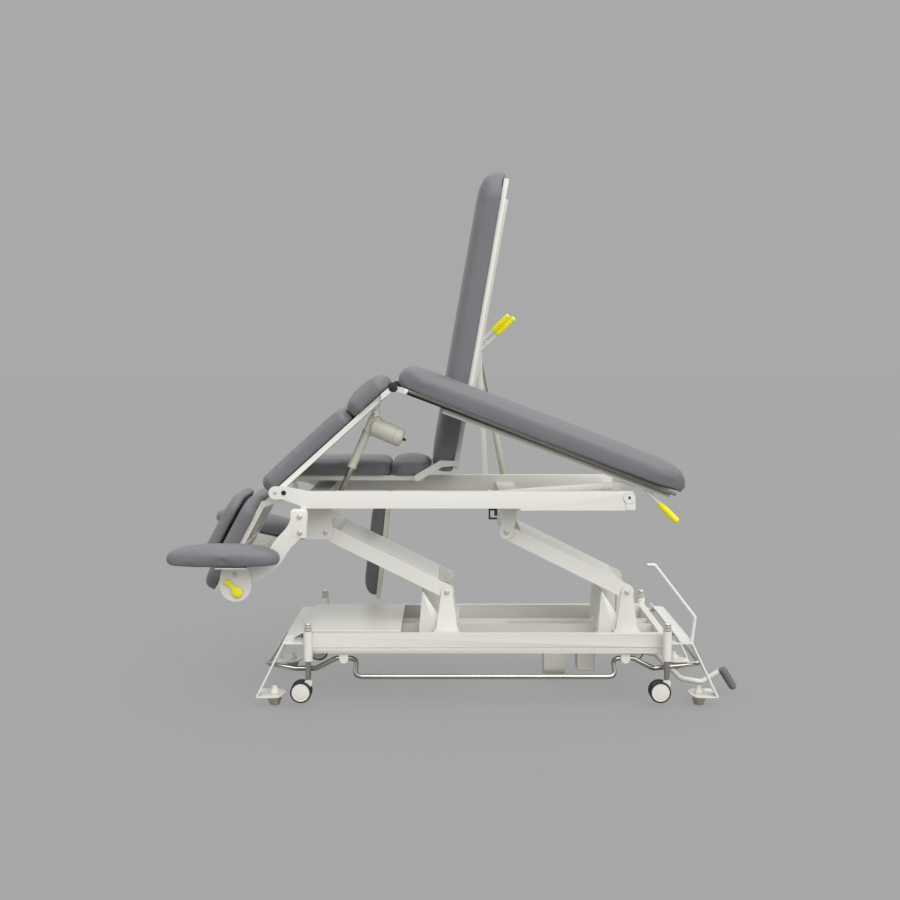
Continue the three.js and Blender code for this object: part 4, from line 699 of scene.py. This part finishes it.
# %% Pedal
PEDAL_HUB = (640, 160)
PEDAL_Y = -110
PEDAL_SPAN = (306, 118)
PEDAL = [(0, 0), (0.235, 0.102), (0.5425, 0.881), (0.79, 1), (1, 0.661)]
bends = [
    point(PEDAL_HUB[0] + PEDAL_SPAN[0] * across, PEDAL_Y, PEDAL_HUB[1] - PEDAL_SPAN[1] * down)
    for across, down in PEDAL
]
pedal = tube("Pedal_tube", rounded(bends, 30), 10, "pedal", white_paint)
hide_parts("pedal_arm")
shape = bmesh.new()
COLLAR = [(-20, 10), (-20, 12.4), (-19.4, 13), (19.4, 13), (20, 12.4), (20, 10)]
lathe_into(shape, COLLAR, at(PEDAL_HUB, PEDAL_Y), (0, 1, 0), 32)
hub = piece_from("Pedal_hub", turned_out(shape), "pedal", white_paint)
lean = math.radians(-58)
sole = Vector((math.cos(lean), 0, math.sin(lean)))
start = bends[-1] + point(15, 0, 5) - sole * 0.0075
tread = ((0, 0), (1.8, 0), (2.2, 0.9), (2.8, 0.9))
treads = [(8 + 3.2 * i + shift, 15 - depth) for i in range(21) for shift, depth in tread]
tip_angles = [math.radians(12 * i) for i in range(1, 7)]
tip = [(77.3 + 14 * math.sin(a), 14 * math.cos(a)) for a in tip_angles]
shape = bmesh.new()
lathe_into(shape, [(0, 0), (0, 11), (1, 13.4), (4, 14.6), *treads, *tip, (91.3, 0)], start, sole, 44)
pad = piece_from("Pedal_pad", turned_out(shape), "pedal", pedal_rubber)
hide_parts("pedal_pad")
print("pedal", len(pad.data.polygons), "faces")

# %% [markdown]
# The clamp levers of the armrests are yellow dumbbells. A lathe gives the waist and the two round ends,
# and the result is flattened across the table, because the lever lies against its disc.

# %% Armrest levers
KNOB, BALL = 11, 19
KNOB_PLACE = Vector((-26, 0, 0))
run = Vector((7.6, 0, -34.6)) - KNOB_PLACE
knob_angles = [math.radians(15 * i) for i in range(0, 9)]
ball_angles = [math.radians(38 + 14.2 * i) for i in range(0, 10)]
knob = [(-KNOB * math.cos(a), KNOB * math.sin(a)) for a in knob_angles]
waist = [(14, 6.6), (22, 6.4), (28, 8.6)]
ball = [(run.length - BALL * math.cos(a), BALL * math.sin(a)) for a in ball_angles]
for side, sign, angle in ARMRESTS:
    axes = section(ARMREST_PIVOT, angle)
    shape = bmesh.new()
    lathe_into(shape, [*knob, *waist, *ball, (run.length + BALL, 0)], Vector((0, 0, 0)), run, 36)
    beside_disc = point(KNOB_PLACE.x, sign * 359.9, 0)
    flat = Matrix.Translation(beside_disc) @ Matrix.Diagonal((1, 7 / BALL, 1, 1))
    bmesh.ops.transform(shape, matrix=axes @ flat, verts=shape.verts)
    lever = piece_from(f"Clamp_lever_{side}", turned_out(shape), f"armrest_lever_{side}", yellow)
    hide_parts(f"armrest_lever_{side}")
print("two clamp levers")

# %% [markdown]
# Pads are the soft part of the table. Blender's Cloth gives them the look of a filled cover: each pad's
# shape is taken a few millimetres smaller, remeshed into even cells, and blown up a little with pressure.
# The growth is capped, and the side that lies on the frame is kept flat, because it is stapled to a
# board. The armrest pads start from a ball drawn out into a loaf instead, arched on top and flat below.

# %% Pad places
flap_axes = section(FLAP_PIVOT, -6.3)
flap_axes = flap_axes @ Matrix.Rotation(math.pi / 2, 4, "Y") @ Matrix.Rotation(math.pi, 4, "X")
thigh_axes = section(SEAT_PIVOT, THIGH_ANGLE)
seat_axes = section(SEAT_PIVOT)
head_axes = section(HEAD_PIVOT, HEAD_ANGLE)
near_axes, far_axes = (section(ARMREST_PIVOT, angle) for _, _, angle in ARMRESTS)
# Axes, share of filling, rounding of the corners in plan, and length of the nose.
pads = {
    "near_narrow_cushion": (thigh_axes, 0.8, 40, 0),
    "near_wide_cushion": (thigh_axes, 0.8, 40, 0),
    "near_long_pad": (section(LONG_HINGE, -20.7), 0.8, 120, 95),
    "far_narrow_cushion": (seat_axes, 0.8, 40, 0),
    "far_wide_cushion": (seat_axes, 0.8, 40, 0),
    "far_long_pad": (section(FAR_BACK_PIVOT, 80), 0.8, 120, 95),
    "head_pad": (head_axes, 0.8, 70, 50),
    "face_cushion": (head_axes, 0.75, 0, 0),
    "armrest_pad_near": (near_axes, 0.75, 0, 0),
    "armrest_pad_far": (far_axes, 0.75, 0, 0),
    "flap_pad": (flap_axes, 0.7, 50, 50),
}
SHRINK = 4 * MM
CAP = 6 * MM
VOXEL = 6 * MM
LOAF_CENTRE = (-32.5, 400, 95)
LOAF_HALF = (193.5, 65)
LOAF_TOP, LOAF_FLOOR = 46, 30
PLAN_POWER, TOP_POWER, FLOOR_POWER = 2.6, 2.5, 4.5


def superellipse(angle, power):
    """The radius at an angle, 1 along the axes, of a square-shouldered circle."""
    return (abs(math.cos(angle)) ** power + abs(math.sin(angle)) ** power) ** (-1 / power)


def loaf(axes, sign):
    shape = bmesh.new()
    bmesh.ops.create_uvsphere(shape, u_segments=96, v_segments=48, radius=1)
    x, y, z = LOAF_CENTRE
    for vert in shape.verts:
        turn = math.atan2(vert.co.y, vert.co.x)
        lift = math.asin(max(-1, min(1, vert.co.z)))
        size = superellipse(lift, TOP_POWER if lift > 0 else FLOOR_POWER)
        across = math.cos(lift) * size
        plan = superellipse(turn, PLAN_POWER)
        depth = LOAF_TOP if lift > 0 else LOAF_FLOOR
        vert.co = axes @ point(
            x + LOAF_HALF[0] * across * plan * math.cos(turn),
            sign * y + LOAF_HALF[1] * across * plan * math.sin(turn),
            z + depth * math.sin(lift) * size,
        )
    return shape


def start_shape(node):
    """The pad a little smaller, remeshed into even cells."""
    if node.startswith("armrest"):
        shape = loaf(pads[node][0], -1 if node.endswith("near") else 1)
    else:
        shape = bmesh.new()
        shape.from_mesh(frame["nodes"][node].data)
    turned_out(shape)
    shape.normal_update()
    for vert in shape.verts:
        vert.co -= vert.normal * SHRINK
    mesh = bpy.data.meshes.new(node + ".cover")
    shape.to_mesh(mesh)
    shape.free()
    cover = bpy.data.objects.new(node + ".cover", mesh)
    scene.collection.objects.link(cover)
    remesh = cover.modifiers.new("Even cells", "REMESH")
    remesh.mode = "VOXEL"
    remesh.voxel_size = VOXEL
    smooth = cover.modifiers.new("Soft edges", "SMOOTH")
    smooth.factor = 0.5
    smooth.iterations = 16
    bpy.context.view_layer.update()
    graph = bpy.context.evaluated_depsgraph_get()
    even = bpy.data.meshes.new_from_object(cover.evaluated_get(graph))
    cover.modifiers.clear()
    cover.data = even
    return cover


covers = {node: start_shape(node) for node in pads}
print("cells", {node: len(cover.data.polygons) for node, cover in covers.items()})

# %% [markdown]
# All the covers inflate together, in twenty frames.


# %% Inflate
def inflate(covers):
    rest = {node: [vert.co.copy() for vert in cover.data.vertices] for node, cover in covers.items()}
    for cover in covers.values():
        cloth = cover.modifiers.new("Filling", "CLOTH")
        cloth.settings.quality = 4
        cloth.settings.mass = 0.4
        cloth.settings.tension_stiffness = 18
        cloth.settings.compression_stiffness = 18
        cloth.settings.shear_stiffness = 12
        cloth.settings.bending_stiffness = 2
        cloth.settings.use_pressure = True
        cloth.settings.uniform_pressure_force = 4
        cloth.settings.effector_weights.gravity = 0
        cloth.collision_settings.use_collision = False
        cloth.point_cache.frame_start = 1
        cloth.point_cache.frame_end = 20
    for step in range(1, 21):
        scene.frame_set(step)
    graph = bpy.context.evaluated_depsgraph_get()
    for node, cover in covers.items():
        blown = [vert.co.copy() for vert in cover.evaluated_get(graph).data.vertices]
        cover.modifiers.clear()
        for vert, before, after in zip(cover.data.vertices, rest[node], blown):
            move = after - before
            if move.length > CAP:
                move *= CAP / move.length
            vert.co = before + move
    scene.frame_set(1)


inflate(covers)
print("filled", len(covers), "pads")

# %% [markdown]
# Each cover is then fitted to its board: it is stretched back to the pad's full size, and its flat side
# is pressed flat. Its corners are rounded in plan, its free end slopes to a blunt nose, the round below
# its sides is pressed tighter, and the long covers hang a little over the edge of the board. How far a
# point lies inside the edge of the flat side is stored on it, and the vinyl shader reads the value to
# draw the black felt and the fold round it.

# %% Finish the pads
BLUNT = 0.36
ROUND_BELOW = 14 * MM
FLATTER = 0.4
FLAT_BELOW = 1.6 * MM
LIP = 9 * MM
LIP_INSET = 14 * MM
LINING_EDGE = 34 * MM


def extent(places):
    low = Vector([min(place[i] for place in places) for i in range(3)])
    high = Vector([max(place[i] for place in places) for i in range(3)])
    return low, high


def round_in_plan(place, low, high, corner):
    """Draws a point near a corner of the plan inwards along a superellipse of power 4."""
    middle = (low + high) / 2
    for end_x in (low.x + corner, high.x - corner):
        for end_y in (low.y + corner, high.y - corner):
            past_x = abs(place.x - end_x) if (place.x < end_x) == (end_x < middle.x) else 0
            past_y = abs(place.y - end_y) if (place.y < end_y) == (end_y < middle.y) else 0
            if past_x > 0 and past_y > 0:
                pull = (past_x**4 + past_y**4) ** 0.25 / math.hypot(past_x, past_y)
                place.x = end_x + (place.x - end_x) * pull
                place.y = end_y + (place.y - end_y) * pull


def pressed(rise, height):
    """The height of a point over the board once the round below the sides is pressed tighter."""
    if rise < ROUND_BELOW:
        return rise * FLATTER
    stretch = (height - ROUND_BELOW * FLATTER) / (height - ROUND_BELOW)
    return ROUND_BELOW * FLATTER + (rise - ROUND_BELOW) * stretch


for node, (axes, fill, corner, nose) in pads.items():
    cover = covers[node]
    back = axes.inverted()
    low, high = extent([back @ vert.co for vert in frame["nodes"][node].data.vertices])
    soft = [back @ vert.co for vert in cover.data.vertices]
    soft_low, soft_high = extent(soft)
    gain = [(high[i] - low[i]) / (soft_high[i] - soft_low[i]) for i in range(3)]
    print(node, "grows by", [round(g, 3) for g in gain])
    under = cover.data.attributes.new("under", "FLOAT", "POINT")
    for vert, place, store in zip(cover.data.vertices, soft, under.data):
        place = Vector([low[i] + (place[i] - soft_low[i]) * gain[i] for i in range(3)])
        round_in_plan(place, low, high, corner * MM)
        rise = pressed(place.z - low.z, high.z - low.z)
        if nose:
            inside = min(max(high.x - place.x, 0) / (nose * MM), 1)
            rise *= BLUNT + (1 - BLUNT) * math.sqrt(inside * (2 - inside))
        flat = rise < FLAT_BELOW
        place.z = low.z if flat else low.z + rise
        edge = min(place.x - low.x, high.x - place.x, place.y - low.y, high.y - place.y)
        if nose and rise < LIP:
            place.z -= LIP * (1 - rise / LIP) * min(max(1 - (edge - LIP_INSET) / LIP_INSET, 0), 1)
        vert.co = axes @ place
        store.value = edge - LINING_EDGE if flat else -LINING_EDGE
    cover.name = node + ".vinyl"
    cover.data.name = node + ".vinyl"
    cover.data.materials.clear()
    cover.data.materials.append(vinyl)
    cover.data.shade_smooth()
    finer = cover.modifiers.new("Finer cells", "SUBSURF")
    finer.levels = finer.render_levels = 1
    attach(cover, body_of_node[node])
    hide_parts(node)
print("covered", len(pads), "pads")

# %% [markdown]
# Bolts and pins hold the steel together. A bolt is a washer and a bevelled hexagon. All the bolts that
# sit on one moving body share one piece, because they never move apart.


# %% Bolts and pins
def hexagon_into(mesh_data, centre, axis, across, height):
    made = bmesh.ops.create_cone(
        mesh_data,
        cap_ends=True,
        segments=6,
        radius1=across * MM / math.sqrt(3),
        radius2=across * MM / math.sqrt(3),
        depth=height * MM,
        matrix=Matrix.Translation(centre) @ facing(axis) @ Matrix.Translation((0, 0, height * MM / 2)),
    )
    round_edges(mesh_data, made["verts"], min(across, height * 2) * 0.05 * MM, 2)


def bolt_into(mesh_data, centre, axis, across):
    rim, face = across * 0.78, across * 0.72
    washer = [(0.1, 0), (0.1, face), (0.5, rim), (1.4, rim), (1.9, face), (1.9, 0)]
    lathe_into(mesh_data, washer, centre, axis, 32)
    hexagon_into(mesh_data, centre + Vector(axis).normalized() * 1.8 * MM, axis, across, across * 0.55)


def cap_into(mesh_data, centre, axis, radius, height, finish=0):
    dome = [(0, 0), (0, radius), (height * 0.5, radius), (height * 0.8, radius * 0.9)]
    dome += [(height, radius * 0.62), (height * 1.05, 0)]
    lathe_into(mesh_data, dome, centre, axis, 32, finish)


def mirrored_sides(x, y, z):
    return [(point(x, sign * y, z), (0, sign, 0)) for _, sign in SIDES]


def bolts(name, body, places, across):
    shape = bmesh.new()
    for place, axis in places:
        bolt_into(shape, place, axis, across)
    made = piece_from(name, turned_out(shape), body, zinc)


PEDESTAL_FACE = 174.1
ARM_FACE = 330.1
base_places = [spot for x in (-54, 597) for spot in mirrored_sides(x, PEDESTAL_FACE, 389)]
bolts("Pedestal_bolts", "base", base_places, 12)
arm_places = [spot for x in (-490.7, 160.3) for spot in mirrored_sides(x, PEDESTAL_FACE, 606.7)]
arm_places += [spot for z in (684, 628) for spot in mirrored_sides(-565, ARM_FACE, z)]
bolts("Upper_frame_bolts", "upper", arm_places, 12)
for side, sign, angle in ARMRESTS:
    spot = section(ARMREST_PIVOT, angle) @ point(-2, sign * 353, 26)
    bolts(f"Armrest_bolt_{side}", f"armrest_{side}", [(spot, (0, sign, 0))], 11)
print("hexagon bolts on the base, the upper frame and the armrests")

# %% [markdown]
# Each caster housing is closed by a stack: a flanged nut, a hexagon nut and a cap nut. Thin black rings
# under and between the nuts are painted shade, standing in for the shadowed gaps there.

# %% Housing nuts
HOUSING_TOP = 277
FLANGED_NUT = [(2.4, 0), (2.4, 15.4), (6.4, 15.4), (8.2, 13), (8.2, 0)]
CAP_NUT = [(21.8, 0), (21.8, 12), (24, 12), (28, 9.6), (30, 5), (30.4, 0)]
shape = bmesh.new()
for x in CASTER_X.values():
    for _, sign in SIDES:
        top = point(x, sign * CASTER_Y, HOUSING_TOP)
        # These black rings are painted shade for the gaps under and between the nuts.
        for low, high in ((0, 2.6), (8, 10), (20, 22)):
            lathe_into(shape, [(low, 0), (low, 11), (high, 11), (high, 0)], top, (0, 0, 1), 32, 1)
        lathe_into(shape, FLANGED_NUT, top, (0, 0, 1), 40, 0)
        hexagon_into(shape, top + point(0, 0, 9.8), (0, 0, 1), 25, 10.4)
        lathe_into(shape, CAP_NUT, top, (0, 0, 1), 40, 0)
nuts = piece_from("Housing_nuts", turned_out(shape), "base", zinc, plate_black)
print("housing nuts", len(nuts.data.polygons), "faces")

# %% [markdown]
# Caps close the ends of the shafts. A black cap sits on the seat pivot and a smaller bright one on the
# head pivot, and the round disc at the foot end of the near rail has a rim and a dark screw in its
# middle.

# %% Caps and end discs
RAIL_FACE = 310.1
END_DISC = (582, 749)
shape = bmesh.new()
for _, sign in SIDES:
    out = (0, sign, 0)
    cap_into(shape, at(SEAT_PIVOT, sign * RAIL_FACE), out, 8.5, 2.4, 1)
    cap_into(shape, at(HEAD_PIVOT, sign * RAIL_FACE), out, 6, 2, 0)
disc = [(0, 0), (0, 20.6), (1.6, 20.6), (2.2, 19.8), (2.2, 17.6)]
disc += [(1.2, 16.8), (1.2, 7.4), (2, 6.8), (2, 0)]
lathe_into(shape, disc, at(END_DISC, -312.6), (0, -1, 0), 56, 2)
cap_into(shape, at(END_DISC, -314.6), (0, -1, 0), 4.6, 2.6, 1)
caps = piece_from("Rail_caps", turned_out(shape), "upper", zinc, plate_black, white_paint)
print("rail caps", len(caps.data.polygons), "faces")

# %% [markdown]
# The two curved arms are bent flat bar. A Catmull-Rom spline runs through the middle of the bar. A flat
# section with rounded corners is extruded from one station to the next along it, each time with bmesh's
# region extrude.


# %% Curved arms
def catmull_rom(knots, share):
    place = share * (len(knots) - 1)
    first = min(int(place), len(knots) - 2)
    rest = place - first
    before, start, end, after = (knots[min(max(first + i, 0), len(knots) - 1)] for i in (-1, 0, 1, 2))
    leave, arrive = (end - before) * 0.5, (after - start) * 0.5
    bent = (start * 2 - end * 2 + leave + arrive) * rest**3
    bent += (end * 3 - start * 3 - leave * 2 - arrive) * rest**2
    return bent + leave * rest + start


def flat_bar_into(mesh_data, stations, half_width, half_wall, corner):
    """Extrudes a flat section along stations of a place and a direction in the X-Z plane."""
    outline = []
    for quarter in range(4):
        side = 1 if quarter in (0, 3) else -1
        lift = 1 if quarter in (0, 1) else -1
        for turn in (15, 30, 45):
            angle = math.radians(90 * quarter + turn)
            wide = side * (half_width - corner) + corner * math.cos(angle)
            thick = lift * (half_wall - corner) + corner * math.sin(angle)
            outline.append((wide, thick))

    def placed(station, spot):
        place, along = station
        normal = Vector((-along.z, 0, along.x))
        return place + normal * spot[0] * MM + Vector((0, spot[1] * MM, 0))

    verts = [mesh_data.verts.new(placed(stations[0], spot)) for spot in outline]
    face = mesh_data.faces.new(verts)
    for station in stations[1:]:
        made = bmesh.ops.extrude_face_region(mesh_data, geom=[face])["geom"]
        faces = (item for item in made if isinstance(item, bmesh.types.BMFace))
        face = next(item for item in faces if len(item.verts) == len(outline))
        for vert, spot in zip(face.verts, outline):
            vert.co = placed(station, spot)


ARM_TOP = (-567, 704)
ARM_SPAN = (220, 245)
ARM_Y = 324
KNOTS = [(0, 0), (0.01, 0.16), (0.1, 0.32), (0.27, 0.49), (0.42, 0.69), (0.66, 0.86), (1, 1.02)]
STATIONS = 45
BOSS = [(-6, 0), (-6, 32.6), (-4.6, 34), (4.6, 34), (6, 32.6), (6, 0)]
STUB = [(0, 0), (0, 8), (17, 8), (17, 0)]
for side, sign in SIDES:
    middle = sign * ARM_Y
    knots = [
        point(ARM_TOP[0] - ARM_SPAN[0] * back, middle, ARM_TOP[1] - ARM_SPAN[1] * down)
        for back, down in KNOTS
    ]
    last = STATIONS - 1
    places = [catmull_rom(knots, i / last) for i in range(STATIONS)]
    steps = [(places[max(i - 1, 0)], places[min(i + 1, last)]) for i in range(STATIONS)]
    directions = [(after - before).normalized() for before, after in steps]
    shape = bmesh.new()
    flat_bar_into(shape, list(zip(places, directions)), 30, 6, 2.2)
    lathe_into(shape, BOSS, at(ARMREST_PIVOT, middle), (0, 1, 0), 56)
    lathe_into(shape, STUB, at(ARMREST_PIVOT, middle), (0, sign, 0), 28)
    low, high = sorted((sign * 285, sign * 323))
    box_into(shape, point(-592, low, 614), point(-542, high, 709.7), 3)
    low, high = sorted((sign * 317.6, sign * 330.4))
    box_into(shape, point(-598, low, 606), point(-541, high, 706), 5)
    arm = piece_from(f"Curved_arm_{side}", turned_out(shape), "upper", white_paint)
    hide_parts(f"curved_arm_{side}")
print("two curved arms")

# %% [markdown]
# A sleeve of pleated black vinyl closes the gap between the thigh section and the near long section. It
# is round about their common hinge, so it looks the same at every angle, and it leaves the rail free.

# %% Hinge sleeve
shape = bmesh.new()
for start, end, slimmer in ((-322, -312, 1.5), (-262, -14, 0)):
    pleats = []
    for i in range(round((end - start) / 5)):
        along = start + 5 * i
        valley = 12.5 + 1.5 * (i % 3) - slimmer
        ridge = 17 - 1.4 * (i % 2) - slimmer
        pleats += [(along, valley), (along + 2.5, ridge)]
    outline = [(start, 0), *pleats, (pleats[-1][0], 0)]
    lathe_into(shape, outline, at(LONG_HINGE, 0), (0, 1, 0), 40)
sleeve = piece_from("Hinge_sleeve", turned_out(shape), "thigh", tyre_black)
print("hinge sleeve")

# %% [markdown]
# A short cable clip of black plastic hangs under the near rail, in front of the foot-end lift bracket.

# %% Cable clip
shape = bmesh.new()
for low_x, low_z, high_x, high_z in (
    (92, 702.4, 122, 709.9),
    (92, 672, 98, 704),
    (94, 671, 122, 677),
    (112, 684, 122, 704),
):
    box_into(shape, point(low_x, -306, low_z), point(high_x, -290, high_z), 1.5)
clip = piece_from("Cable_clip", turned_out(shape), "upper", plate_black)
print("cable clip")

# %% [markdown]
# The floor and the backdrop are one pale grey. The floor is a plane wide enough to reach the horizon. The
# world shows the camera the same grey, so the two run into each other, and it lights the table evenly
# from all sides. What polished parts mirror is a studio: a bright ceiling and backdrop, and a darker room
# behind the camera. The floor glows a little for the camera alone, which lifts the shadow under the table
# without removing it.

# %% Floor
BACKDROP = 0.397
FLOOR = 0.286
GLOW = 0.75
shader = Shader("Studio floor")
grey = shader.node("ShaderNodeBsdfDiffuse", None, {"Color": (FLOOR, FLOOR, FLOOR, 1)})
glow = shader.node("ShaderNodeEmission", None, {"Color": (BACKDROP, BACKDROP, BACKDROP, 1)})
seen = shader.node("ShaderNodeLightPath", output="Is Camera Ray")
mixed = shader.node("ShaderNodeMixShader", None, {0: seen * GLOW, 1: grey, 2: glow})
shader.node("ShaderNodeOutputMaterial", None, {"Surface": mixed})
shape = bmesh.new()
bmesh.ops.create_grid(shape, x_segments=1, y_segments=1, size=60)
floor_mesh = bpy.data.meshes.new("Studio floor")
shape.to_mesh(floor_mesh)
shape.free()
floor_mesh.materials.append(shader.material)
floor = bpy.data.objects.new("Studio floor", floor_mesh)
scene.collection.objects.link(floor)


# %% World
def studio_world():
    world = bpy.data.worlds.new("Studio")
    scene.world = world
    graph = Graph(world)

    def even(strength, shade=1):
        sockets = {"Color": (shade, shade, shade, 1), "Strength": strength}
        return graph.node("ShaderNodeBackground", None, sockets)

    def rise(axis, start, end, low, high):
        where = graph.node("ShaderNodeTexCoord", output="Generated")
        height = graph.node("ShaderNodeSeparateXYZ", None, {0: where}, output=axis)
        limits = {"From Min": start, "From Max": end, "To Min": low, "To Max": high}
        smooth = {"interpolation_type": "SMOOTHSTEP"}
        return graph.node("ShaderNodeMapRange", smooth, {"Value": height, **limits})

    def mixed_by(ray, others, chosen):
        share = graph.node("ShaderNodeLightPath", output=ray)
        return graph.node("ShaderNodeMixShader", None, {0: share, 1: others, 2: chosen})

    mirrored = even(rise("Y", -0.25, 0.35, 0.22, 0.62) + rise("Z", 0.45, 0.8, 0, 0.9))
    lit = mixed_by("Is Glossy Ray", even(0.93), mirrored)
    shown = mixed_by("Is Camera Ray", lit, even(1.0, BACKDROP))
    graph.node("ShaderNodeOutputWorld", None, {"Surface": shown})
    return world


print("world", studio_world().name)

# %% [markdown]
# One wide, soft light stands above, in front of the table and towards its foot end. It models the pads:
# the faces that look its way are lighter, and the shadow on the floor has no edge.

# %% Lamp
lamp_data = bpy.data.lights.new("Soft top light", "SUN")
lamp_data.energy = 1.7
lamp_data.angle = math.radians(60)
lamp = bpy.data.objects.new("Soft top light", lamp_data)
lamp.rotation_euler = (math.radians(42), math.radians(22), 0)
scene.collection.objects.link(lamp)
